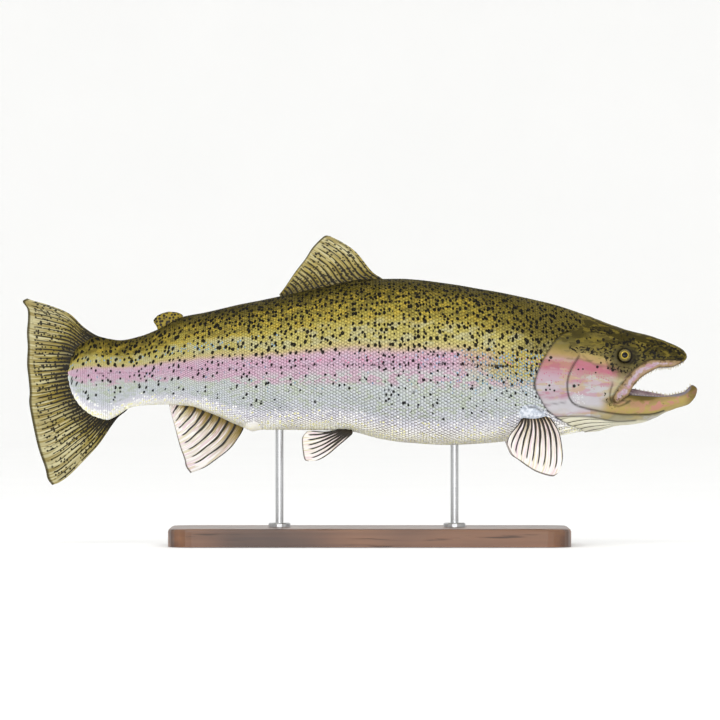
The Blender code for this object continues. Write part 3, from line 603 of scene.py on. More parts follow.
def throat_relief(x, z):
    """Rays under the gill cover: ridges that fan rearwards from the chin between seam and keel."""
    share = share_of_throat(x, z)
    region = smooth(192, 200, x) * smooth(266, 246, x) * smooth(0.02, 0.16, share)
    return region * 0.4 * np.cos(2 * np.pi * (THROAT_RAYS * share + (x - RAY_START) / RAY_LEAN))


def skin_relief(points, mouth):
    """Height and painted crease shade of the whole skin: the relief of the head, a vent, soft swellings
    and the groove round the dome, dark with painted shade. They fade at the tips of the jaws and stop
    inside the mouth."""
    x, z = points[:, 0], points[:, 2]
    height, crease_shade = np.zeros((2, len(points)))
    head = x > HEAD_START - 8
    (bones, fold_shade), (rims, eye_and_nostril_shade) = head_relief(x[head], z[head]), eye_relief(x[head], z[head])
    fine = 0.12 * ripple(points[head], 9, 5) + 0.05 * ripple(points[head], 3.2, 6)
    height[head] = bones + rims + throat_relief(x[head], z[head])
    height[head] += fine * inside(head_outline, x[head], z[head])
    crease_shade[head] = np.maximum(fold_shade, eye_and_nostril_shade)
    height += 2.0 * bell(np.hypot(x - VENT[0], z - VENT[1]), 4.5)
    height += swelling(points)
    # Painted shade in the groove round the dome's edge.
    groove = bell((dome(x, z) - 0.25) * 10, 1.1) * smooth(131, 136, z) * (mouth < 0.5)
    crease_shade = np.maximum(crease_shade, 0.9 * groove * smooth(160, 170, x))
    outer = 1 - mouth
    tip = smooth(SNOUT, SNOUT - 5, x) + smooth(SNOUT, SNOUT + 3, x) * (z < 165)
    return height * outer * np.clip(tip + (x < 300), 0, 1), np.clip(crease_shade, 0, 1) * outer


def band_of(x, z):
    """Where a point lies between keel (-1), lateral line (0) and crest (1)."""
    line = lateral(x)
    above = (z - line) / np.maximum(crest(x) - line, 3)
    below = (z - line) / np.maximum(line - keel(x), 3)
    return np.clip(np.where(z > line, above, below), -1.05, 1.05)


def zones_of(x, z):
    """Three shares each: head, gill cover and lower jaw; throat, dabs and the way down the throat."""
    head = smooth(-1.0, 1.0, depth_in(head_outline, gill_line, x, z))
    border_x, border_z = np.array([(230, 136), *CHEEK_LINE[5::-1], (224, 215)]).T
    away = distance_to(path(CHEEK_LINE[:8], 30), x, z)
    gill = head * smooth(-1.5, 1.5, np.where(x < np.interp(z, border_z, border_x), away, -away))
    above_chin = z - cheek_height(x)
    mandible = smooth(236, 250, x) * smooth(-1.0, 1.0, np.minimum(above_chin, lip(x) + 6 - z))
    mandible = np.where(x > MOUTH_CORNER + 3, smooth(-1.0, 1.0, above_chin) * (z < CHIN_TOP), mandible)
    throat = head * smooth(-0.8, 0.8, throat_seam(x) - z)
    dabs = np.max([dense * bell(distance_to(path(line, 12), x, z), reach)
                   for line, reach, dense in SMUDGES], axis=0)
    return together(head, gill, mandible), together(throat, dabs, share_of_throat(x, z))


def mark(piece, points, crease_shade=0.0, mouth=0.0):
    """Store what the markings read, for each vertex."""
    x, z = points[:, 0], points[:, 2]
    zones, places = zones_of(x, z)
    bone = np.clip(depth_in(maxilla_outline, maxilla_outline, x, z) / 5, -3, 1)
    store(piece, "around", together(band_of(x, z), arc_at(points) * MM, dome(x, z)))
    store(piece, "zones", zones)
    # The first of the lines is painted crease shade, which darkens the colour.
    store(piece, "lines", together(crease_shade, mouth, bone))
    store(piece, "places", places)


def make_skin(material):
    """One closed skin over head, jaws, throat, trunk and tail stalk."""
    points, quads, mouth = skin_arrays()
    height, crease_shade = skin_relief(points, mouth)
    shaped = points + vertex_normals(points, quads) * height[:, None]
    x, z = points[:, 0], points[:, 2]
    gum = smooth(0, 1.4, z - curve(GUM_LINE)(x)) * smooth(292, 300, x) * smooth(333, 328, x) * (z < 165)
    mouth = np.maximum(mouth, gum)
    skin = make_piece("skin", shaped, quads)
    mark(skin, points, crease_shade, mouth)
    dress(skin, material, "body_skin", "head", "throat", "trunk_front", "trunk_rear", "tail_stalk",
          "lower_jaw", "gill_cover_left", "gill_cover_right", "maxilla_left", "maxilla_right")


# ---------------------------------------------------------------- scales

SCALE_ROWS = 205               # along the fish
SCALE_COLUMNS = 56             # on one side, from crest to keel
SCALE_LIFT = 0.17              # how far the free end of a scale stands off the skin
SCALE_RIM = 8                  # points on a scale's rim, before one on its top and one below
SCALE_JITTER = 0.12            # how far a scale strays along the fish
SCALE_PATCH = 0.0015           # size of a scale's patch on the map


def scale_rows():
    """Places along the fish whose spacing shrinks with the depth of the body."""
    x = np.linspace(TAIL_END + 4, 226, 400)
    depth = crest(x) - keel(x)
    count = running(np.diff(x) / (1.35 + depth[1:] / 90))
    return np.interp(np.linspace(0, count[-1], SCALE_ROWS), count, x)


def even_angles(x, shares):
    """Angles that divide the side of a section into equal lengths of arc at the given shares."""
    angles, reach = arc_lengths(x)
    reach = reach / reach[:, -1:]
    return np.array([np.interp(share, row, angles) for row, share in zip(reach, shares)])


def surface_point(x, angle, side):
    """A point of the skin at x and an angle, on the left (1) or right (-1) side."""
    wide, high = section(x, angle, -COAT_DEPTH)
    return together(x, side * wide, high)


def scale_places(side, rng):
    """Middles of the staggered scales of one side, three axes for each (rearwards, down the flank and
    outwards), its distances to the next ones, and its shares of the fish's length and girth."""
    rows = scale_rows()
    stagger = 0.5 * (np.arange(SCALE_ROWS)[:, None] % 2)
    share = (np.arange(SCALE_COLUMNS) + 0.5 + stagger) / (SCALE_COLUMNS + 0.5)
    angle = even_angles(rows, share)
    x = rows[:, None] + rng.normal(0, SCALE_JITTER, angle.shape)
    place = surface_point(x, angle, side)
    forward = unit(surface_point(x + 1.0, angle, side) - surface_point(x - 1.0, angle, side))
    down = surface_point(x, angle - 0.01, side) - surface_point(x, angle + 0.01, side)
    up = unit(np.cross(forward, down) * side)
    axes = np.stack([-forward, np.cross(up, forward) * side, up], axis=-2)
    wide_step = np.linalg.norm(np.diff(place, axis=1), axis=-1)
    wide_step = np.hstack([wide_step, wide_step[:, -1:]])
    steps = together(np.gradient(rows)[:, None], wide_step)
    shares = together((x - TAIL_END) / (JAW_TIP - TAIL_END), share)
    keep = ~inside(head_outline, place[..., 0] + 1.2, place[..., 2]) & (share < 0.985)
    keep &= dome(place[..., 0], place[..., 2]) < 0.04
    return place[keep], axes[keep], steps[keep], shares[keep]


def scale_shape():
    """Points of a lens: a rim that slopes up to its free end, and one point above and one below."""
    turn = full_turn(SCALE_RIM)
    along = -0.92 * np.cos(turn)
    up = np.select([along > 0.3, along < -0.3], [0.72, -0.6], 0.1)
    return np.vstack([together(along, 0.60 * np.sin(turn), up), (0.1, 0, 0.95), (0, 0, -0.9)])


def make_scales(side, name, material):
    """Small lens-shaped scales in staggered rows that lie rearwards, each with its patch of the map."""
    rng = np.random.default_rng(11 + side)
    place, axes, steps, shares = scale_places(side, rng)
    place = place + axes[:, 2] * swelling(place)[:, None]
    lift = SCALE_LIFT * (1 - 0.55 * smooth(0.80, 0.94, shares[:, 1]))
    size = rng.uniform(0.94, 1.06, len(place))
    shape = scale_shape()
    lens = shape * together(steps[:, 0] * size, steps[:, 1] * size * 1.12, lift)[:, None]
    points = (place[:, None] + lens @ axes).reshape(-1, 3)
    rim = np.arange(SCALE_RIM)
    over = together(rim, np.roll(rim, -1), SCALE_RIM)
    under = together(np.roll(rim, -1), rim, SCALE_RIM + 1)
    first = len(shape) * np.arange(len(place))[:, None, None]
    piece = make_piece(name, points, (np.concatenate([over, under]) + first).reshape(-1, 3))
    fix_direction(piece)
    mark(piece, points)
    # The plate feeds each scale's random tone and its painted shade at the rim and free end.
    middle = (np.arange(len(shape)) >= SCALE_RIM).astype(float)
    chance = rng.uniform(0, 1, len(place))[:, None]
    store(piece, "plate", together(middle, chance, shape[:, 0]).reshape(-1, 3))
    spots = ((shares * 0.98 + 0.01)[:, None] + SCALE_PATCH * shape[:, :2]).reshape(-1, 2)
    corners = np.empty(len(piece.data.loops), np.int32)
    piece.data.loops.foreach_get("vertex_index", corners)
    layer = piece.data.uv_layers.new(name="OFBake")
    layer.data.foreach_set("uv", spots[corners].astype(np.float32).ravel())
    dress(piece, material, "body_skin")


# ---------------------------------------------------------------- fins

# Each fin has four borders: its root in the flesh, its leading edge, its free margin and its last ray.
# A hinge is the y and z where a paired fin leaves the body, and its splay is in degrees.
FINS = {
    "dorsal_fin": {
        "root": [(20.5, 256), (-75.5, 243)],
        "front": [(24.5, 264.5), (12.5, 273.5), (-3.5, 292.9), (-17.9, 303.1), (-29.5, 309.0)],
        "margin": [(-29.5, 309.0), (-35.5, 308.7), (-46.5, 298), (-54.5, 285.7), (-63.8, 273.7),
            (-74, 258.7), (-80.2, 250.5)],
        "rear": [(-78, 246.5), (-80.2, 250.5)],
        "rays": 12, "thick": 3.6},
    "adipose_fin": {
        "root": [(-178, 221), (-201.5, 211)],
        "front": [(-176.5, 229), (-182, 232.5), (-190.8, 233.4)],
        "margin": [(-190.8, 233.4), (-197, 231.8), (-202, 229.6)],
        "rear": [(-202.5, 217.5), (-206, 224.3), (-202, 229.6)],
        "rays": 0, "thick": 3.4},
    "anal_fin": {
        "root": [(-119.5, 123), (-187.5, 147)],
        "front": [(-115.8, 117), (-123, 104.3), (-130.5, 95.3), (-142.5, 85.9), (-154.9, 77.4),
            (-169.2, 72)],
        "margin": [(-169.2, 72), (-173.6, 78.5), (-175.2, 86), (-180, 100), (-185, 119), (-190, 137)],
        "rear": [(-190, 142), (-190, 137)],
        "rays": 9, "thick": 4.6},
    "pelvic_fin": {
        "root": [(-9.5, 119), (-21.5, 122)],
        "front": [(-6.8, 112.5), (-10.8, 108), (-20.9, 99.4), (-31.5, 90.4), (-41.5, 84.9),
            (-51.5, 83.8)],
        "margin": [(-51.5, 83.8), (-55, 86.5), (-57, 99), (-57, 107.7), (-52.8, 112.8)],
        "rear": [(-22.5, 116), (-33.5, 113.4), (-46.5, 113.7), (-52.8, 112.8)],
        "rays": 7, "thick": 4.0, "hinge": (12.0, 114.0), "splay": 35.0},
    "pectoral_fin": {
        "root": [(185.5, 136), (161.5, 128)],
        "front": [(188, 130), (194, 122), (198.7, 112), (200.9, 100), (201.4, 87), (198.7, 76.8),
            (195.2, 71.5)],
        "margin": [(195.2, 71.5), (189.5, 69.8), (174.1, 75.4), (160.7, 84.3), (152.9, 89.4),
            (148.6, 97)],
        "rear": [(157.7, 121), (150.2, 112), (146.9, 104), (148.6, 97)],
        "rays": 10, "thick": 4.6, "hinge": (28.0, 127.0), "splay": 35.0},
    "tail_fin": {
        "root": [(-236, 200), (-240, 185), (-242, 166), (-240, 147), (-232, 141)],
        "front": [(-241.5, 203.5), (-252.5, 206.6), (-263.5, 210), (-276.5, 218.6), (-290.5, 231.6),
            (-311.5, 240.2), (-325, 244), (-332.5, 246.6)],
        "margin": [(-332.5, 246.6), (-336.8, 243.5), (-332.2, 236), (-331.6, 226), (-332.6, 212),
            (-331.8, 198), (-332.4, 181), (-331, 167), (-329.8, 153), (-330.2, 141.5), (-326.8, 122),
            (-321.3, 97.4), (-314.5, 77.4), (-312, 66.5), (-307.5, 60)],
        "rear": [(-232, 135.5), (-241.5, 127.4), (-248.5, 118.3), (-254, 110), (-262.5, 98.4),
            (-276.5, 83.4), (-290.5, 69.4), (-300.5, 62.4), (-307.5, 60)],
        "rays": 21, "thick": 7.0},
}
SAMPLES_PER_RAY = 12
FIN_STEPS = 64
MEMBRANE = 0.55                # thickness between the rays
RAY_HEIGHT = 0.5
FIN_SWAY = 1.2                 # how far a fin's tip waves to the sides


def fin_height(s, t, rays, thick):
    """Half the thickness of a fin: a fleshy foot, a thin membrane, and rays that fork outwards."""
    single = np.abs(np.cos(np.pi * s * rays)) ** 3
    double = np.abs(np.cos(2 * np.pi * s * rays)) ** 2.5
    ridge = single + (0.8 * double - single) * smooth(0.5, 0.85, t) if rays else 0 * s * t
    edge = np.minimum(s, 1 - s)
    foot = (thick - MEMBRANE) * (1 - t) ** 3 * smooth(-0.02, 0.12, edge)
    leading = 0.9 * bell(s, 0.03) * (1 - 0.6 * t) if rays else 1.4 * (1 - t) ** 0.6 + 0 * s
    height = MEMBRANE + foot + leading + ridge * RAY_HEIGHT * (1.2 - 0.9 * t)
    return height / 2


def fin_patch(shape, columns, s, t):
    """Side view of a fin: a Coons patch, which blends the four borders and takes off the corners."""
    root, margin = path(shape["root"], columns), path(shape["margin"], columns)
    front = path([shape["root"][0], *shape["front"]], FIN_STEPS)
    rear = path([shape["root"][-1], *shape["rear"]], FIN_STEPS)
    found = []
    for k in range(2):
        along = (1 - s) * front[:, k, None] + s * rear[:, k, None]
        out = (1 - t) * root[None, :, k] + t * margin[None, :, k]
        corners = ((1 - s) * (1 - t) * root[0, k] + s * (1 - t) * root[-1, k]
                   + (1 - s) * t * margin[0, k] + s * t * margin[-1, k])
        found.append(along + out - corners)
    return found


def make_fin(name, shape, side, material, slot, node):
    """A fin as a closed sheet on the left (1) or right (-1): s runs along its root and t outwards. A
    paired fin leans out from its hinge by the splay; the others stand in the middle plane."""
    rays = shape["rays"]
    columns = max(rays, 7) * SAMPLES_PER_RAY + 1
    s = np.linspace(0, 1, columns)[None, :]
    t = np.linspace(0, 1, FIN_STEPS)[:, None]
    half = fin_height(s, t, rays, shape["thick"])
    x, z = fin_patch(shape, columns, s, t)
    sway = FIN_SWAY * np.sin(np.pi * (1.6 * s + 0.7 * t)) * t ** 2
    rim_fade = np.sqrt(np.clip(1.04 - t ** 24, 0.06, 1))
    half = half * rim_fade * np.clip(0.35 + 14 * np.minimum(s, 1 - s), 0, 1)
    faces = []
    lean = math.radians(shape.get("splay", 0.0))
    out_y, hinge_z = shape.get("hinge", (0.0, 0.0))
    for face in (1, -1):
        across = sway + face * half
        y = out_y + (hinge_z - z) * math.tan(lean) + across * math.cos(lean)
        faces.append(together(x, side * y, z + across * math.sin(lean)))
    ring = np.concatenate([faces[0], faces[1][:, ::-1]], axis=1)
    index = numbers_of(ring)
    low, high = index[[0, -1], :columns], index[[0, -1], :columns - 1:-1]
    ladders = together(low[:, :-1], low[:, 1:], high[:, 1:], high[:, :-1])
    quads = np.concatenate([grid_quads(index, closed=True), ladders[0, :, ::-1], ladders[1]])
    piece = make_piece(name, ring.reshape(-1, 3), quads)
    fix_direction(piece)
    rows = t + 0 * s
    ray_place = s * max(rays, 1) + 0 * t
    pitch = np.hypot(np.gradient(x, axis=1), np.gradient(z, axis=1)) / np.gradient(ray_place, axis=1)
    ray_place, rows, pitch = (np.hstack([part, part[:, ::-1]]) for part in (ray_place, rows, pitch))
    reach = distance_to(body_outline, ring[..., 0], ring[..., 2])
    store(piece, "fin", together(ray_place, rows, reach).reshape(-1, 3))
    store(piece, "pitch", pitch.ravel())
    dress(piece, material, slot, node)


def fix_direction(piece):
    """Turn the faces outwards if the piece's signed volume is negative."""
    mesh = piece.data
    mesh.calc_loop_triangles()
    corners = np.empty(len(mesh.loop_triangles) * 3, np.int32)
    mesh.loop_triangles.foreach_get("vertices", corners)
    points = np.empty(len(mesh.vertices) * 3)
    mesh.vertices.foreach_get("co", points)
    a, b, c = points.reshape(-1, 3)[corners.reshape(-1, 3)].transpose(1, 0, 2)
    if np.einsum("ij,ij->i", a, np.cross(b, c)).sum() < 0:
        mesh.flip_normals()


# ---------------------------------------------------------------- eyes, teeth and tongue

def turned(radius, height, centre, axis):
    """A closed surface turned round an axis from rows of radius and height; it ends in two poles.
    Each vertex also gets its radius, its angle round the axis and its height."""
    axis = unit(axis)
    first = unit(np.cross(axis, (0, 0, 1.0)))
    second = np.cross(axis, first)
    turn = full_turn(EYE_COLUMNS)
    ring = radius[:, None, None] * (np.cos(turn)[None, :, None] * first
                                    + np.sin(turn)[None, :, None] * second)
    points = centre + ring + height[:, None, None] * axis
    polar = together(radius[:, None], turn, height[:, None])
    quads = grid_quads(numbers_of(points, 2), closed=True)
    return points.reshape(-1, 3), quads, polar.reshape(-1, 3)


def make_eye(side, name, material, node):
    """An eyeball with a bulging front; each vertex keeps its distance from the eye's axis."""
    x, z = EYE_PLACE
    out = float(side_of_body(np.array([x]), np.array([z]))[0]) - EYEBALL_SUNK
    arc = np.linspace(0, np.pi, EYE_ROWS)
    radius = EYEBALL[0] * np.sin(arc)
    height = EYEBALL[1] * np.cos(arc) + 0.5 * bell(radius, 5) * (arc < 1.6)
    aim = (EYE_TURN[0], side, EYE_TURN[1])
    points, quads, polar = turned(radius, height, (x, side * out, z), aim)
    piece = make_piece(name, points, quads)
    fix_direction(piece)
    store(piece, "ring", polar)
    dress(piece, material, "eye", node)


TONGUE_ROOT = 232.0
TONGUE_LENGTH = 88.0
TONGUE_BACK = (266.0, 158.0)   # x and z of one place on its back
TONGUE_SLOPE = 0.175
UPPER_TEETH = (276, 324, 20)   # first and last x, and how many there are on a side
LOWER_TEETH = (273, 331, 21)
TONGUE_TEETH = (268, 306, 10)
TOOTH_RADIUS = 0.8


def tongue_top(x):
    """Height of the tongue's back, which slopes down to the front."""
    return TONGUE_BACK[1] - TONGUE_SLOPE * (x - TONGUE_BACK[0])


def inset(wide):
    """Where a tooth stands, a little inside the edge of a jaw."""
    return wide - min(2.2, wide * 0.4)


def make_teeth(material):
    """Rows of small backward-curved cones on both jaws and two rows on the tongue."""
    rng = np.random.default_rng(4)
    spots = []
    for side in (-1, 1):
        for x in np.linspace(*UPPER_TEETH):
            wide = float(section(x, lip_angle(x))[0])
            spots.append((x, side * inset(wide), float(lip(x)) + 0.2, -1, 3.9))
        for x in np.linspace(*LOWER_TEETH):
            tall = 2.1 + 1.3 * float(smooth(296, 312, x))
            spots.append((x, side * inset(float(jaw_half_width(x))), float(jaw_lip(x)) + 0.1, 1, tall))
        for x in np.linspace(*TONGUE_TEETH):
            spots.append((x, side * 2.6, float(tongue_top(x)) - 0.8, 1, 2.2))
    spots = np.array(spots)
    spots[:, 4] *= rng.uniform(0.8, 1.2, len(spots))
    turn = full_turn(7)[None, None, :]
    level = np.linspace(0, 1, 5)[None, :, None]
    radius = TOOTH_RADIUS * (1 - level ** 1.4) + 0.03
    length, way = spots[:, 4, None, None], spots[:, 3, None, None]
    x = spots[:, 0, None, None] + radius * np.cos(turn) - 0.9 * level ** 2
    y = spots[:, 1, None, None] + radius * np.sin(turn) - np.sign(spots[:, 1, None, None]) * 0.3 * level
    z = spots[:, 2, None, None] + way * (level * length - 0.5)
    points = together(x, y, z).reshape(-1, 3)
    one = np.arange(35).reshape(5, 7)
    quads = np.vstack([grid_quads(one, closed=True), [[0, 6, 5, 4], [0, 4, 3, 1], [1, 3, 2, 2]],
                       [[28, 29, 30, 31], [28, 31, 32, 34], [34, 32, 33, 33]]])
    both = [35 * k + (quads if spot[3] > 0 else quads[:, ::-1]) for k, spot in enumerate(spots)]
    piece = make_piece("teeth", points, np.concatenate(both))
    dress(piece, material, "tongue")


def make_tongue(material):
    """A fleshy tongue with a rounded tip and a shallow groove, lower and narrower towards the tip."""
    u = np.linspace(0, 1, 60)[:, None]
    turn = full_turn(48)[None, :]
    x = TONGUE_ROOT + TONGUE_LENGTH * u
    wide = 8.0 * (1 - 0.5 * u) * np.sqrt(np.clip(1 - u ** 7, 0, 1)) * smooth(-0.1, 0.1, u)
    high = 7.0 * (1 - 0.35 * u) * np.sqrt(np.clip(1 - u ** 6, 0, 1)) * smooth(-0.1, 0.1, u)
    y = wide * np.cos(turn)
    top = np.sin(turn)
    groove = 0.9 * bell(y, 1.6) * (top > 0) * smooth(0.0, 0.2, u) * smooth(1.0, 0.8, u)
    z = tongue_top(np.minimum(x, 310)) - high * (1 - top) - groove
    points = together(x, y, z)
    points += (0.15 * ripple(points, 3.0, 21))[..., None] * (0, 0, 1)
    quads = grid_quads(numbers_of(points, 2), closed=True)
    piece = make_piece("tongue_flesh", points.reshape(-1, 3), quads)
    fix_direction(piece)
    dress(piece, material, "tongue", "tongue")


# ---------------------------------------------------------------- materials

def linear(colour):
    """Three steps of 0 to 255 as linear light; anything else is a link or linear already."""
    if not isinstance(colour, tuple) or len(colour) != 3:
        return colour
    return tuple(((c / 255 + 0.055) / 1.055) ** 2.4 if c > 10 else c / 3294.6 for c in colour) + (1.0,)


class Link:
    """A value of a material's node tree; an expression on links adds its Math nodes."""

    def __init__(self, paint, socket):
        self.paint = paint
        self.socket = socket

    def __add__(self, other):
        return self.paint.maths("ADD", self, other)

    def __radd__(self, other):
        return self.paint.maths("ADD", other, self)

    def __sub__(self, other):
        return self.paint.maths("SUBTRACT", self, other)

    def __rsub__(self, other):
        return self.paint.maths("SUBTRACT", other, self)

    def __mul__(self, other):
        return self.paint.maths("MULTIPLY", self, other)

    def __rmul__(self, other):
        return self.paint.maths("MULTIPLY", other, self)

    def __truediv__(self, other):
        return self.paint.maths("DIVIDE", self, other)

    def __rtruediv__(self, other):
        return self.paint.maths("DIVIDE", other, self)

    def rise(self, low, high):
        """A smooth step from 0 at low to 1 at high; low may be the larger one."""
        return self.paint.node("ShaderNodeMapRange", {"interpolation_type": "SMOOTHSTEP"},
                               {"Value": self, "From Min": low, "From Max": high})

    def between(self, low, high, last, end):
        """A window: it rises from low to high and falls from last to end."""
        return self.rise(low, high) * self.rise(last, end)

    def mix(self, tone, factor, kind="MIX"):
        """This colour with another one over it by a factor."""
        return self.paint.mix(self, tone, factor, kind)


class Paint:
    """One material and the few ways in which its nodes are added."""

    def __init__(self, name, roughness=0.4, metallic=0.0, coat=0.0, coat_roughness=0.08, gloss=0.5):
        self.material = bpy.data.materials.new(name)
        self.material.use_nodes = True
        self.tree = self.material.node_tree
        self.shader = self.tree.nodes["Principled BSDF"]
        for key, value in (("Roughness", roughness), ("Metallic", metallic), ("Coat Weight", coat),
                           ("Coat Roughness", coat_roughness), ("Specular IOR Level", gloss)):
            self.shader.inputs[key].default_value = value

    def node(self, kind, settings=None, inputs=None, output=0):
        """Add a node: its settings first, then the values or links of its sockets."""
        made = self.tree.nodes.new(kind)
        for key, value in (settings or {}).items():
            if key == "stops":
                ramp = made.color_ramp.elements
                while len(ramp) < len(value):
                    ramp.new(0.5)
                for element, (place, colour) in zip(ramp, value):
                    element.position = place
                    element.color = linear(colour)
            else:
                setattr(made, key, value)
        for key, value in (inputs or {}).items():
            self.put(made.inputs[key], value)
        return Link(self, made.outputs[output])

    def maths(self, operation, *values):
        """A Math node on one or two values."""
        return self.node("ShaderNodeMath", {"operation": operation}, dict(enumerate(values)))

    def flat(self, across, up):
        """Places on a flat map."""
        return self.node("ShaderNodeCombineXYZ", {}, {0: across, 1: up})

    def forward(self):
        """How far forward a place lies, in metres."""
        return self.node("ShaderNodeSeparateXYZ", {}, {0: self.where()})

    def put(self, socket, value):
        """Link a link to a socket, or set a plain value on it."""
        if isinstance(value, Link):
            self.tree.links.new(value.socket, socket)
        else:
            socket.default_value = value

    def set(self, **values):
        """Feed the shader's sockets, named with underscores for spaces, and give the material."""
        for key, value in values.items():
            self.put(self.shader.inputs[key.replace("_", " ")], value)
        return self.material

    def finish(self, colour, roughness, grain, depth, strength=0.5, **more):
        """Colour, roughness and a relief: a grain of 0 to 1 over a depth in metres."""
        relief = self.node("ShaderNodeBump", {},
                           {"Height": grain, "Distance": depth, "Strength": strength})
        return self.set(Base_Color=colour, Roughness=roughness, Normal=relief, **more)

    def where(self, scale=(1, 1, 1)):
        """Object coordinates in metres, scaled."""
        place = self.node("ShaderNodeTexCoord", output="Object")
        return self.node("ShaderNodeMapping", {}, {"Vector": place, "Scale": scale})

    def kept(self, name, part=None):
        """A stored attribute: a number, or one part of a vector."""
        if part is None:
            return self.node("ShaderNodeAttribute", {"attribute_name": name}, output="Fac")
        vector = self.node("ShaderNodeAttribute", {"attribute_name": name}, output="Vector")
        return self.node("ShaderNodeSeparateXYZ", {}, {0: vector}, output=part)

    def noise(self, scale, detail, at=None):
        """Fractal noise from 0 to 1."""
        return self.node("ShaderNodeTexNoise", {},
                         {"Vector": at or self.where(), "Scale": scale, "Detail": detail})

    def waver(self, reach, scale, detail, at=None):
        """Noise round 0: up to half of the reach to either side."""
        return (self.noise(scale, detail, at) - 0.5) * reach

    def spread_out(self, along=1.0, around=1.0):
        """Places on the unwrapped flank in metres: along the fish, and round it from the crest."""
        return self.flat(self.forward() * along, self.kept("around", 1) * around)

    def dots(self, scale, radius, density, at=None):
        """Round marks in flat Voronoi cells: one random number of a cell decides whether it has a
        mark, by the density, and another one how large the mark is."""
        distance = self.node("ShaderNodeTexVoronoi", {"voronoi_dimensions": "2D"},
                             {"Vector": at or self.spread_out(), "Scale": scale, "Randomness": 0.85})
        colour = Link(self, distance.socket.node.outputs["Color"])
        chance = self.node("ShaderNodeSeparateColor", {}, {0: colour})
        size = Link(self, chance.socket.node.outputs[1])
        found = (distance - radius * (0.65 + 0.5 * size)).rise(0.05, -0.05)
        return found * (density - chance).rise(0.0, 0.04)

    def streaks(self, across, along):
        """Noise on a fin that is drawn out along its rays."""
        place = self.flat(self.kept("fin", 0) * across, self.kept("fin", 1) * along)
        return self.node("ShaderNodeTexNoise", {"noise_dimensions": "2D"},
                         {"Vector": place, "Scale": 1.0, "Detail": 2.0})

    def fold(self, value):
        """How far a value is from the nearest half: 0 at the halves and 0.5 at whole numbers."""
        return self.maths("ABSOLUTE", self.maths("FRACT", value) - 0.5)

    def wobbled(self, scale, reach, at):
        """Coordinates shifted a little by noise, so that round cells get uneven edges."""
        shift = self.node("ShaderNodeTexNoise", {}, {"Vector": self.where(), "Scale": scale}, "Color")
        return self.node("ShaderNodeVectorMath", {"operation": "MULTIPLY_ADD"},
                         {0: shift, 1: (reach, reach, reach), 2: at})

    def away(self, flat, x, z):
        """Distance in metres from a place in the side view, given in millimetres."""
        return self.node("ShaderNodeVectorMath", {"operation": "DISTANCE"},
                         {0: flat, 1: (x * MM, 0, z * MM)}, output=1)

    def mix(self, first, second, factor, kind="MIX"):
        """Mix two colours by a factor."""
        return self.node("ShaderNodeMix", {"data_type": "RGBA", "blend_type": kind},
                         {0: factor, 6: linear(first), 7: linear(second)}, output=2)

    def ramp(self, value, stops):
        """Colours along a value from 0 to 1."""
        return self.node("ShaderNodeValToRGB", {"stops": stops}, {0: value})

    def bands(self, band, table):
        """Colours along a band from the keel (-1) to the crest (1)."""
        return self.ramp((band + 1) / 2, [((place + 1) / 2, colour) for place, colour in table])


FLANK = [
    (-1.0, (255, 254, 226)), (-0.93, (255, 253, 236)), (-0.86, (244, 243, 240)),
    (-0.78, (222, 221, 230)), (-0.66, (206, 208, 216)), (-0.5, (196, 201, 204)),
    (-0.28, (194, 198, 194)), (-0.19, (196, 192, 194)), (-0.13, (198, 176, 188)),
    (-0.04, (200, 165, 184)), (0.06, (199, 162, 182)), (0.13, (200, 168, 178)), (0.17, (196, 172, 154)),
    (0.21, (192, 175, 124)), (0.28, (188, 177, 110)), (0.42, (184, 172, 96)), (0.50, (174, 161, 84)),
    (0.57, (162, 148, 68)), (0.67, (152, 138, 58)), (0.77, (134, 120, 46)), (0.86, (92, 81, 22)),
    (1.0, (52, 46, 10))]
# The darker stop at -0.8 is painted shade along the crease where the cheek meets the throat.
FACE = [
    (-1.0, (208, 202, 180)), (-0.8, (160, 152, 120)), (-0.66, (198, 190, 172)),
    (-0.54, (208, 204, 214)), (-0.30, (196, 188, 196)), (-0.22, (192, 184, 184)),
    (-0.16, (194, 146, 160)), (-0.12, (194, 150, 158)), (-0.07, (190, 180, 168)),
    (0.0, (188, 150, 146)), (0.06, (192, 118, 136)), (0.16, (192, 120, 130)), (0.22, (188, 156, 112)),
    (0.31, (182, 160, 100)), (0.36, (124, 110, 54)), (0.5, (112, 100, 42)), (0.64, (82, 72, 20)),
    (0.8, (64, 56, 12)), (1.0, (64, 55, 12))]
COVER = [
    (-1.0, (228, 216, 206)), (-0.78, (220, 216, 226)), (-0.50, (208, 204, 214)),
    (-0.43, (190, 146, 166)), (-0.37, (188, 146, 164)), (-0.30, (198, 186, 196)),
    (-0.12, (198, 170, 186)), (-0.04, (194, 150, 164)), (0.02, (190, 120, 136)),
    (0.10, (184, 126, 124)), (0.16, (190, 150, 140)), (0.24, (176, 150, 96)), (0.37, (132, 118, 58)),
    (0.47, (102, 92, 40)), (0.60, (74, 65, 17)), (1.0, (62, 53, 11))]
JAW = [
    (-1.0, (188, 168, 112)), (-0.8, (188, 168, 98)), (-0.62, (192, 168, 106)), (-0.5, (168, 144, 98)),
    (-0.40, (160, 134, 84)), (-0.33, (112, 96, 44)), (-0.25, (92, 78, 32))]
BONE = [
    (0.0, (92, 72, 44)), (0.2, (156, 130, 92)), (0.45, (172, 146, 116)), (0.64, (180, 152, 132)),
    (0.79, (204, 186, 204)), (1.0, (182, 158, 166))]
# Mottling of the flank: noise scale, lowest and highest band, colour and strength.
MOTTLES = [
    (300, -0.66, -0.2, (180, 190, 166), 0.65), (75, -0.66, -0.24, (192, 198, 204), 0.5),
    (190, -0.28, -0.06, (202, 162, 184), 0.7), (260, -0.05, 0.12, (196, 184, 198), 0.4),
    (110, 0.24, 0.50, (186, 182, 142), 0.75), (260, 0.48, 0.86, (184, 158, 58), 0.6),
    (230, 0.55, 1.1, (92, 82, 40), 0.55), (250, 0.3, 0.5, (168, 152, 78), 0.35)]


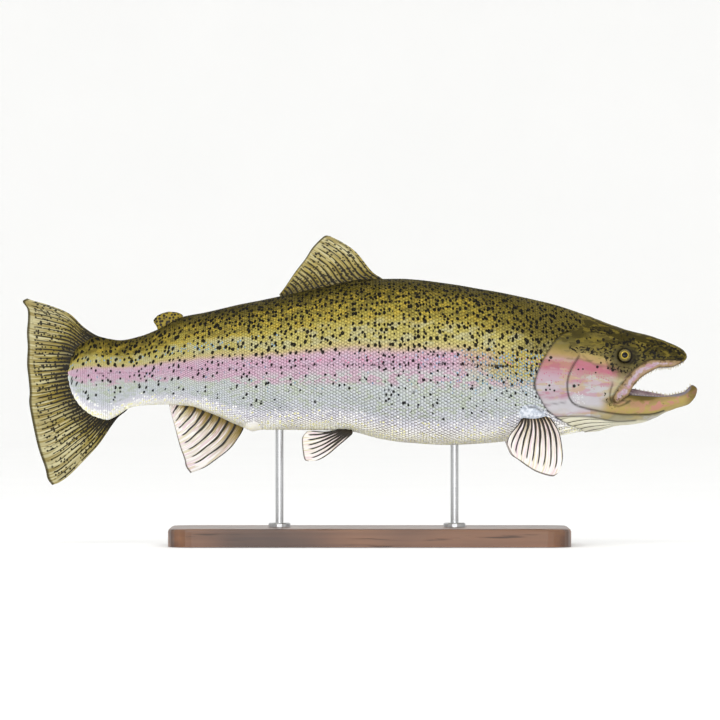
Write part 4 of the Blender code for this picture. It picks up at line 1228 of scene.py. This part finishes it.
def flank_colour(paint, band, x):
    """Bands from keel to crest with their mottling, flecks, belly dots and the broken lateral line."""
    stretched = paint.where((0.55, 1, 1))
    raised = 0.08 * x.rise(-0.09, 0.03) * band.between(0.02, -0.10, -0.45, -0.3)
    colour = paint.bands(band - raised, FLANK)
    for scale, low, high, tone, strength in MOTTLES:
        patch = paint.noise(scale, 4, stretched).rise(0.49, 0.54)
        here = band.rise(low - 0.05, low + 0.05) * band.rise(high + 0.05, high - 0.05)
        colour = colour.mix(tone, patch * here * strength)
    shoulder = (x + paint.waver(0.06, 45, 4)).rise(0.09, 0.15)
    shoulder = shoulder * band.between(-0.36, -0.2, 0.28, 0.16)
    torn = band + paint.waver(0.5, 120, 4)
    under = paint.mix((180, 166, 80), (186, 180, 154), torn.rise(-0.02, -0.2))
    colour = colour.mix(under, shoulder * torn.rise(-0.34, -0.16) * 0.9)
    nape = x.rise(0.08, 0.18) * band.rise(0.36, 0.58)
    colour = colour.mix((84, 74, 25), nape * (0.66 + 0.3 * x.rise(0.155, 0.19)))
    collar = (x + paint.waver(0.04, 90, 4)).rise(0.145, 0.185) * band.rise(0.08, 0.3)
    colour = colour.mix((104, 92, 38), collar * 0.75)
    stern = x.rise(-0.16, -0.25) * band.rise(0.38, 0.66)
    colour = colour.mix((86, 75, 26), stern * (0.2 + 0.5 * paint.noise(140, 4).rise(0.40, 0.62)))
    flecks = (0.68 * shoulder + 0.10 * x.rise(0.02, 0.1) * band.rise(0.2, 0.1)
              + 0.28 * x.rise(-0.04, -0.15) * band.between(0.24, 0.32, 0.54, 0.44)
              + 0.05 * band.rise(0.18, 0.1)) * band.rise(-0.46, -0.34)
    dashes = paint.wobbled(300, 0.0012, paint.spread_out(1.0, 0.7))
    colour = colour.mix((116, 158, 190), paint.dots(440, 0.33, flecks, dashes) * 0.85)
    red = 0.26 * band.between(-0.02, 0.03, 0.14, 0.08) * x.rise(-0.2, 0.05)
    colour = colour.mix((206, 118, 150), paint.dots(360, 0.36, red) * 0.7)
    low = band.rise(-0.56, -0.86)
    speckled = paint.wobbled(300, 0.0016, paint.spread_out())
    colour = colour.mix((255, 255, 253), paint.dots(360, 0.42, low * 0.62, speckled))
    colour = colour.mix((255, 252, 196), paint.dots(330, 0.38, low * low * 0.30, speckled))
    bare = paint.kept("around", 2)
    hazy = paint.mix((180, 188, 200), (216, 221, 229), paint.noise(380, 3).rise(0.42, 0.60))
    colour = colour.mix(hazy, bare.rise(-0.22, 0.12))
    along = paint.kept("around", 0) + 0.015
    pores = (along * along).rise(0.0004, 0.0001) * x.rise(-0.282, -0.27)
    broken = paint.noise(360, 2, paint.where((1, 0, 0.4))).rise(0.50, 0.56)
    return colour.mix((40, 32, 30), pores * broken * (0.4 + 0.5 * x.rise(-0.1, 0.02)))


def jaw_colour(paint, band, x):
    """The lower jaw: dark olive at the lip, gold below, rose patches and grey streaks between."""
    streaks = paint.where((0.3, 1, 1))
    uneven = paint.waver(0.16, 90, 4, streaks)
    colour = paint.bands(band + uneven, JAW)
    middle = band.between(-0.86, -0.66, -0.34, -0.46)
    rose = paint.noise(190, 4, paint.where((0.6, 1, 1))).rise(0.49, 0.56) * middle
    colour = colour.mix((206, 144, 132), rose * (0.35 + 0.6 * x.rise(0.27, 0.30)))
    grey = paint.noise(150, 3, streaks).rise(0.57, 0.61) * middle
    colour = colour.mix((118, 108, 70), grey * 0.7)
    return colour.mix((116, 96, 48), x.rise(0.322, 0.335) * 0.75)


def bone_colour(paint, bone):
    """The upper jaw bone: a brown rim, tan inside it and a lavender middle with wavering streaks."""
    waver = paint.waver(1.5, 190, 4)
    colour = paint.ramp(bone * 0.9 + waver, BONE)
    rose = paint.noise(240, 3).rise(0.50, 0.58) * bone.rise(0.4, 0.7)
    colour = colour.mix((198, 150, 172), rose * 0.7)
    dark = paint.noise(260, 3).rise(0.61, 0.65) * bone.rise(0.1, 0.3)
    return colour.mix((70, 52, 38), dark * 0.7)


def face_colour(paint, band, x):
    """Head, gill cover, jaws and throat with their streaks, dabs and single black spots, and painted
    shade in the throat's furrows.
    """
    gill, jaw = paint.kept("zones", 1), paint.kept("zones", 2)
    bone = paint.kept("lines", 2)
    throat, dabs = paint.kept("places", 0), paint.kept("places", 1)
    band = band + paint.waver(0.12, 70, 4, paint.where((0.35, 1, 1)))
    face = paint.bands(band, FACE).mix(paint.bands(band, COVER), gill)
    streaks = paint.where((0.3, 1, 1))
    low = band.rise(0.2, 0.1)
    high = band.rise(0.30, 0.40)
    rosy = band.between(-0.03, 0.03, 0.17, 0.11)
    quiet = band.between(-0.74, -0.66, -0.42, -0.50)
    chin = band.rise(-0.72, -0.84)
    border = band.between(0.14, 0.22, 0.46, 0.38)
    patches = [
        (95, (206, 204, 212), low * (1 - rosy) * 0.5),
        (110, (196, 126, 150), low * (1 - 0.7 * quiet) * (1 - chin) * 0.5),
        (125, (202, 180, 120), low * (1 - 0.6 * rosy) * (1 - 0.8 * quiet) * 0.45),
        (120, (128, 114, 56), high * 0.6), (150, (122, 112, 74), border * 0.65),
        (240, (60, 52, 18), high * 0.5), (230, (150, 132, 50), high * 0.45)]
    for scale, tone, strength in patches:
        face = face.mix(tone, paint.noise(scale, 4, streaks).rise(0.53, 0.58) * strength)
    freckles = paint.dots(420, 0.30, 0.28 * band.rise(-0.35, -0.1) * low)
    face = face.mix((200, 96, 136), freckles * 0.6)
    flat = paint.where((1, 0, 1))
    glints = paint.dots(560, 0.34, 0.75 * paint.away(flat, *CHEEK_GLINTS).rise(0.009, 0.003))
    face = face.mix((238, 240, 246), glints * 0.75)
    near = bone.rise(-2.4, -0.5) * x.rise(0.278, 0.262) * band.rise(0.32, 0.1)
    face = face.mix((190, 184, 136), near * (0.4 + 0.6 * paint.noise(150, 4)))
    socket = (paint.away(flat, *EYE_SOCKET) + paint.waver(0.010, 160, 3)).rise(0.0205, 0.0115)
    face = face.mix((98, 90, 44), socket * 0.8)
    lid = paint.away(flat, *EYELID).rise(0.0088, 0.0062) * paint.noise(330, 3).rise(0.30, 0.55)
    face = face.mix((34, 29, 10), lid * 0.8)
    face = face.mix(jaw_colour(paint, band, x), jaw)
    pale = paint.mix((255, 253, 240), (232, 225, 192), paint.noise(90, 4))
    face = face.mix(pale, throat)
    # Painted shade in the furrows between the throat's rays, where the relief dips.
    ray = THROAT_RAYS * paint.kept("places", 2) + (x - RAY_START * MM) / (RAY_LEAN * MM)
    furrow_shade = paint.fold(ray).rise(0.11, 0.05) * throat * paint.kept("places", 2).rise(0.02, 0.14)
    face = face.mix((34, 28, 16), furrow_shade * x.between(0.263, 0.25, 0.19, 0.2))
    face = face.mix(bone_colour(paint, bone), bone.rise(-0.1, 0.1))
    dab = (paint.noise(440, 3, paint.where((0.7, 1, 1))) + dabs * 0.14 - 0.10).rise(0.50, 0.55)
    dab = dab * dabs.rise(0.04, 0.5)
    face = face.mix((26, 22, 8), dab * (1 - bone.rise(-0.2, 0.0)))
    nearest = 1.0
    for spot_x, spot_z, radius in HEAD_SPOTS:
        edge = paint.away(flat, spot_x, spot_z) - radius * MM
        nearest = paint.maths("MINIMUM", nearest, edge)
    uneven = paint.waver(0.0012, 500, 2)
    face = face.mix((14, 12, 8), (nearest + uneven).rise(0.00025, -0.00025) * 0.95)
    return face.mix((0.69, 0.69, 0.66, 1.0), 1.0, "MULTIPLY")


def spot_mask(paint, band, x):
    """Black spots of the trunk: drawn out on the flank, small and dense on the back, few below."""
    at = paint.wobbled(330, 0.0011, paint.spread_out(1.0, 0.80))
    clusters = 0.8 + 0.4 * paint.noise(28, 3).rise(0.35, 0.65)
    stern, shoulder = x.rise(-0.05, -0.26), x.rise(0.10, 0.155)
    below = 0.26 * band.rise(-0.72, -0.45) + 0.30 * shoulder * band.rise(-0.5, -0.2)
    below = below + 0.16 * stern * band.rise(-0.8, -0.4) + 0.16 * band.rise(-0.24, -0.08)
    upper = band.rise(0.06, 0.24)
    back = band.rise(0.44, 0.60)
    large = (below + 0.38 * upper) * clusters * (1 - 0.9 * back)
    result = paint.dots(155, 0.175 + 0.085 * upper, large, at)
    small = (0.24 + 0.3 * stern) * band.rise(0.5, 0.72) + 0.05 * upper
    for scale, radius, density in ((205, 0.25, below * 0.6 + 0.26 * upper * (1 - back)),
                                   (205, 0.31, 0.92 * back * clusters), (300, 0.31, small)):
        found = paint.dots(scale, radius, density, at)
        result = result + found * (1 - result)
    return result


def markings(paint):
    """Colour of skin and scales with painted shade in the creases, the mask of the black spots and the
    wavering band.
    """
    wander = paint.waver(0.17, 26, 4, paint.where((0.3, 1, 1)))
    band = paint.kept("around", 0) + wander + paint.waver(0.07, 120, 3)
    x = paint.forward()
    head = paint.kept("zones", 0)
    colour = flank_colour(paint, band, x)
    spot = spot_mask(paint, band, x) * (1 - head) * (1 - paint.kept("around", 2).rise(0.0, 0.05))
    nape = paint.dots(270, 0.27, head * 0.40 * band.rise(0.45, 0.7) * x.rise(0.27, 0.2))
    spot = spot + nape * (1 - spot)
    colour = colour.mix(face_colour(paint, band, x), head)
    colour = colour.mix((12, 11, 8), spot * 0.98)
    # Painted shade in the creases, grooves, eye rim, round the eye and in the nostrils.
    colour = colour.mix((28, 22, 12), paint.kept("lines", 0) * 0.9)
    flesh = paint.mix((78, 72, 78), (138, 131, 138), paint.noise(140, 4))
    return colour.mix(flesh, paint.kept("lines", 1)), spot, band


def make_paints():
    """The finishes of the fish and of its stand."""
    return {"skin": skin_paint("wet_skin", False), "scales": skin_paint("scale_coat", True),
            "back_fin": spotted_fin_paint("spotted_fin", BACK_FIN_TONES, 1.5, (2.6, 20)),
            "tail_fin": spotted_fin_paint("tail_membrane", TAIL_FIN_TONES, 2.0, (2.8, 34)),
            "adipose": adipose_paint(), "belly_fin": pale_fin_paint("pale_fin", BELLY_FIN_TONES),
            "anal_fin": pale_fin_paint("anal_membrane", ANAL_FIN_TONES), "eye": eye_paint(),
            "teeth": teeth_paint(), "tongue": tongue_paint(), "walnut": walnut_paint(),
            "steel": steel_paint()}


def skin_paint(name, scaled):
    """Wet skin: the markings under a clear coat, silvery below the stripe, with a fine grain. Scales
    differ a little in tone, and painted shade darkens their rims and lightens them towards their free
    ends."""
    paint = Paint(name, coat_roughness=0.14, gloss=0.10)
    colour, spot, band = markings(paint)
    grain = paint.noise(900, 3)
    if scaled:
        middle, chance, rear = (paint.kept("plate", part) for part in range(3))
        # Painted shade on each scale: darker at its rim, lighter towards its free end; chance gives a
        # random tone.
        tone_and_edge_shade = 0.91 + 0.05 * middle + 0.06 * chance + 0.02 * rear
        grey = paint.node("ShaderNodeCombineColor", {}, {0: tone_and_edge_shade, 1: tone_and_edge_shade, 2: tone_and_edge_shade})
        colour = colour.mix(grey, 1.0, "MULTIPLY")
    silver = band.between(0.18, -0.3, -1.0, -0.7) * (1 - spot)
    back = band.rise(0.5, 0.95)
    rough = 0.30 + 0.16 * paint.noise(60, 3) + 0.08 * grain + 0.22 * back
    return paint.finish(colour, rough, grain, 0.00012, Coat_Weight=0.10 - 0.08 * back,
                        Metallic=silver * 0.06)


# Tones of the fins from the flesh outwards: share of the way and colour.
BACK_FIN_TONES = [
    (0.0, (84, 72, 22)), (0.10, (128, 112, 44)), (0.30, (156, 140, 74)), (0.55, (164, 152, 98)),
    (0.80, (182, 174, 134))]
TAIL_FIN_TONES = [
    (0.0, (38, 31, 8)), (0.10, (80, 68, 18)), (0.30, (126, 112, 42)), (0.55, (142, 130, 78)),
    (0.80, (164, 156, 116))]
BELLY_FIN_TONES = [
    (0.0, (142, 122, 78)), (0.12, (180, 158, 124)), (0.26, (206, 192, 186)), (0.60, (214, 206, 200)),
    (0.93, (224, 218, 208))]
ANAL_FIN_TONES = [
    (0.0, (98, 80, 28)), (0.16, (112, 94, 38)), (0.28, (152, 134, 92)), (0.46, (196, 186, 176)),
    (0.93, (212, 206, 198))]


def spotted_fin_paint(name, tones, strokes, cells):
    """Fin with pale and ochre streaks, black strokes along the rays that thin outwards, and dots."""
    paint = Paint(name, coat=0.06, coat_roughness=0.2, gloss=0.10)
    place, out = paint.kept("fin", 0), paint.kept("fin", 1)
    reach = paint.kept("fin", 2) + paint.waver(8, 60, 4)
    colour = paint.ramp(reach / 60, tones)
    colour = colour.mix((184, 177, 138), paint.streaks(3.3, 2.2).rise(0.50, 0.56)
                       * (0.25 + 0.6 * reach.rise(6, 30)))
    colour = colour.mix((120, 103, 40), paint.streaks(4.1, 1.7).rise(0.53, 0.60) * 0.7)
    wavering = place * strokes + (paint.streaks(0.9, 3.0) - 0.5) * 0.35
    half = (0.60 + 0.46 * reach.rise(34, 0)) * (0.5 + paint.streaks(1.7, 5.0))
    width = half * strokes / paint.kept("pitch")
    gaps = (paint.streaks(strokes * 1.3, 8.0) + 0.25 * reach.rise(30, 2)).rise(0.38, 0.42)
    stroke = (paint.fold(wavering) - width).rise(0.06, -0.06) * gaps * out.rise(0.95, 0.90)
    colour = colour.mix((18, 15, 8), stroke * 0.95)
    across, along = cells
    at = paint.flat(place * across, out * along)
    dense = 0.46 + 0.35 * reach.rise(18, 0)
    dot = paint.dots(1.0, 0.38, dense, at) * out.rise(0.97, 0.92)
    colour = colour.mix((18, 15, 8), dot * 0.95)
    colour = colour.mix((40, 34, 16), out.rise(0.968, 0.985) * 0.85)
    grain = paint.noise(700, 3)
    return paint.finish(colour, 0.38 + 0.18 * grain, grain, 0.0001)


def adipose_paint():
    """The small fatty fin: olive gold with a dark edge and black spots."""
    paint = Paint("fatty_fin", coat=0.08, coat_roughness=0.15, gloss=0.12)
    out = paint.kept("fin", 1)
    colour = paint.mix((104, 88, 14), (158, 139, 48), paint.noise(260, 4))
    colour = colour.mix((52, 44, 16), out.rise(0.86, 0.98) * 0.8)
    seen = paint.node("ShaderNodeMapping", {},
                      {"Vector": paint.where(), "Rotation": (math.pi / 2, 0, 0)})
    spot = paint.dots(320, 0.42, 0.85, paint.wobbled(160, 0.0012, seen))
    colour = colour.mix((18, 15, 8), spot * 0.95)
    return paint.finish(colour, 0.34 + 0.2 * paint.noise(300, 3), paint.noise(700, 3), 0.0001)


def pale_fin_paint(name, tones):
    """Pale fin skin with tan and rose streaks and black strokes that taper along the rays."""
    paint = Paint(name, coat=0.10, coat_roughness=0.2, gloss=0.15)
    place, out = paint.kept("fin", 0), paint.kept("fin", 1)
    uneven = paint.noise(70, 4) - 0.5
    colour = paint.ramp(out + uneven * 0.2, tones)
    for across, along, tone, strength in ((3.1, 1.6, (214, 184, 202), 0.6),
                                          (3.7, 1.3, (196, 188, 144), 0.6),
                                          (4.7, 2.0, (232, 229, 228), 0.7)):
        patch = paint.streaks(across, along).rise(0.53, 0.60) * out.rise(0.08, 0.34)
        colour = colour.mix(tone, patch * strength)
    colour = colour.mix((138, 116, 60), paint.streaks(5.3, 2.4).rise(0.50, 0.58)
                       * out.rise(0.66, 0.30) * 0.6)
    from_ray = 0.5 - paint.fold(place + (paint.streaks(0.8, 2.0) - 0.5) * 0.2)
    half = (1.42 - 0.90 * out) * (0.55 + 0.9 * paint.streaks(2.0, 4.0))
    line = ((from_ray - half / paint.kept("pitch")).rise(0.04, -0.04) * out.rise(0.03, 0.08)
            * (out - 0.88 - 0.35 * (paint.streaks(1.0, 0.01) - 0.5)).rise(0.02, -0.04))
    colour = colour.mix((16, 13, 9), line * 0.96)
    colour = colour.mix((58, 49, 38), out.rise(0.972, 0.987) * 0.85)
    grain = paint.noise(700, 3)
    return paint.finish(colour, 0.36 + 0.18 * grain, grain, 0.0001)


def eye_paint():
    """A wet eye: black pupil, gold ring round it, darker mottled iris and a black rim."""
    paint = Paint("glass_eye", roughness=0.16, coat=0.16, coat_roughness=0.03, gloss=0.12)
    away, turn = paint.kept("ring", 0), paint.kept("ring", 1)
    fibres = paint.node("ShaderNodeTexNoise", {"noise_dimensions": "2D"},
                        {"Vector": paint.flat(turn * 5.0, away), "Scale": 1.6, "Detail": 4.0})
    iris = paint.ramp(fibres, [(0.3, (62, 54, 22)), (0.5, (112, 98, 46)),
                               (0.7, (160, 146, 84))])
    iris = iris.mix((196, 168, 50), away.rise(4.1, 3.4) * 0.8)
    iris = iris.mix((60, 52, 24), away.rise(4.6, 6.0) * 0.6)
    pupil = away.rise(3.15, 2.9)
    rim = away.rise(5.7, 6.3)
    colour = iris.mix((8, 8, 8), pupil)
    return paint.set(Base_Color=colour.mix((26, 22, 14), rim),
                     Metallic=away.between(2.9, 3.3, 6.0, 5.4) * 0.35)


def teeth_paint():
    """Ivory with yellow stains."""
    paint = Paint("ivory", coat=0.4)
    colour = paint.mix((216, 208, 182), (172, 156, 112), paint.noise(400, 3).rise(0.45, 0.7))
    return paint.set(Base_Color=colour, Roughness=0.22 + 0.2 * paint.noise(500, 2))


def tongue_paint():
    """Wet flesh, rose with grey patches and a fine grain."""
    paint = Paint("wet_flesh", coat=0.5, coat_roughness=0.12)
    colour = paint.ramp(paint.noise(170, 5), [(0.3, (112, 90, 94)), (0.55, (146, 122, 126)),
                                              (0.75, (174, 158, 158))])
    rough = 0.28 + 0.2 * paint.noise(300, 3)
    return paint.finish(colour, rough, paint.noise(600, 4), 0.0002, 0.6)


def walnut_paint():
    """Satin walnut: long dark growth lines that waver, and short open pores along them."""
    paint = Paint("satin_walnut", coat=0.25, coat_roughness=0.25)
    waver = paint.noise(12, 4, paint.where((0.3, 1, 1)))
    grain = paint.noise(170, 4, paint.where((0.03, 1, 1)))
    rings = paint.node("ShaderNodeTexWave", {"bands_direction": "Y"},
                       {"Vector": paint.where((0.22, 1.0, 0.6)), "Scale": 15.0, "Distortion": 11.0,
                        "Detail": 3.0, "Detail Scale": 0.9})
    colour = paint.ramp(0.3 * rings + 0.35 * waver + 0.35 * grain,
                        [(0.22, (54, 32, 20)), (0.45, (86, 54, 33)), (0.72, (118, 78, 49))])
    pores = paint.noise(260, 4, paint.where((0.06, 1, 1))).rise(0.62, 0.75)
    colour = colour.mix((34, 20, 12), pores * 0.7)
    return paint.finish(colour, 0.36 + 0.22 * pores, 1 - pores, 0.0002)


def steel_paint():
    """Steel that is brushed round each rod: very fine lines that change only with height."""
    paint = Paint("brushed_steel", metallic=1.0)
    lines = paint.noise(90, 5, paint.where((0.6, 0.6, 40)))
    colour = paint.mix((150, 152, 154), (206, 207, 208), lines)
    return paint.finish(colour, 0.22 + 0.22 * lines, lines, 0.00005)


# ---------------------------------------------------------------- the room

LAMPS = [("key", (-0.7, -2.0, 2.3), 1.8, 22), ("fill", (1.6, -2.8, 0.5), 2.0, 12),
         ("low", (-0.2, -2.8, 0.12), 1.6, 30)]      # name, place, size and power
AIM = (0, 0, 0.18)             # where the lamps point
FLOOR_TOP = -0.4
FLOOR_RADII = (3000, 8000)     # the flat floor ends at the second one, and curves up from there
WALL_CURVE = 1500
WALL_TOP = (9500, 4200)
CAMERA_PLACE = (0.0005, -6.0, 0.185)
LENS = 300


def make_room():
    """A pale round floor that curves up into a wall far behind the camera, soft lights and a camera."""
    turn = np.linspace(0, np.pi / 2, 16)
    bend = np.stack([FLOOR_RADII[1] + WALL_CURVE * np.sin(turn[1:]),
                     WALL_CURVE * (1 - np.cos(turn[1:])) + FLOOR_TOP], axis=1)
    floor = [(radius, FLOOR_TOP) for radius in (0, *FLOOR_RADII)]
    profile = np.vstack([floor, bend, [WALL_TOP]])
    angle = full_turn(96)[None, :]
    radius, z = profile[:, :1], profile[:, 1:]
    points = together(radius * np.cos(angle), radius * np.sin(angle), z)
    quads = grid_quads(numbers_of(points, 1), closed=True)
    room = make_piece("floor_and_backdrop", points.reshape(-1, 3), quads)
    paint = Paint("pale_paper", roughness=0.9)
    paper = paint.mix((250, 250, 249), (253, 253, 252), paint.noise(3, 2))
    room.data.materials.append(paint.set(Base_Color=paper))

    for name, place, size, power in LAMPS:
        light = bpy.data.lights.new(name, "AREA")
        light.shape = "SQUARE"
        light.size = size
        light.energy = power
        lamp = bpy.data.objects.new(name, light)
        lamp.location = place
        lamp.rotation_euler = (Vector(AIM) - Vector(place)).to_track_quat("-Z", "Y").to_euler()
        bpy.context.scene.collection.objects.link(lamp)

    world = bpy.data.worlds.new("soft_light")
    world.use_nodes = True
    world.node_tree.nodes["Background"].inputs["Color"].default_value = (1, 1, 1, 1)
    world.node_tree.nodes["Background"].inputs["Strength"].default_value = 1.0
    bpy.context.scene.world = world

    lens = bpy.data.cameras.new("camera")
    lens.lens = LENS
    lens.sensor_width = 36
    lens.clip_end = 30
    camera = bpy.data.objects.new("camera", lens)
    camera.location = CAMERA_PLACE
    camera.rotation_euler = (math.radians(90), 0, 0)
    bpy.context.scene.collection.objects.link(camera)
    bpy.context.scene.camera = camera
    bpy.context.scene.view_settings.view_transform = "Standard"


# ---------------------------------------------------------------- putting it together

def repaint(node, material):
    """Give a solid that stays its own finish."""
    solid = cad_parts[node]
    for slot in solid.material_slots:
        slot.material = material
    if not solid.material_slots:
        solid.data.materials.append(material)


def main():
    """Build every piece in a fixed order."""
    paints = make_paints()
    make_skin(paints["skin"])
    make_scales(1, "scales_left", paints["scales"])
    make_scales(-1, "scales_right", paints["scales"])
    for side, ending in ((1, "left"), (-1, "right")):
        make_eye(side, f"eyeball_{ending}", paints["eye"], f"eye_{ending}")
        for name in ("pelvic", "pectoral"):
            make_fin(f"{name}_rays_{ending}", FINS[f"{name}_fin"], side, paints["belly_fin"],
                     "belly_fin", f"{name}_fin_{ending}")
    make_fin("dorsal_rays", FINS["dorsal_fin"], 1, paints["back_fin"], "back_fin", "dorsal_fin")
    make_fin("fatty_fin", FINS["adipose_fin"], 1, paints["adipose"], "back_fin", "adipose_fin")
    make_fin("anal_rays", FINS["anal_fin"], 1, paints["anal_fin"], "belly_fin", "anal_fin")
    make_fin("tail_rays", FINS["tail_fin"], 1, paints["tail_fin"], "tail_fin", "tail_fin")
    make_teeth(paints["teeth"])
    make_tongue(paints["tongue"])
    repaint("stand_base", paints["walnut"])
    repaint("stand_rod_front", paints["steel"])
    repaint("stand_rod_rear", paints["steel"])
    make_room()


main()
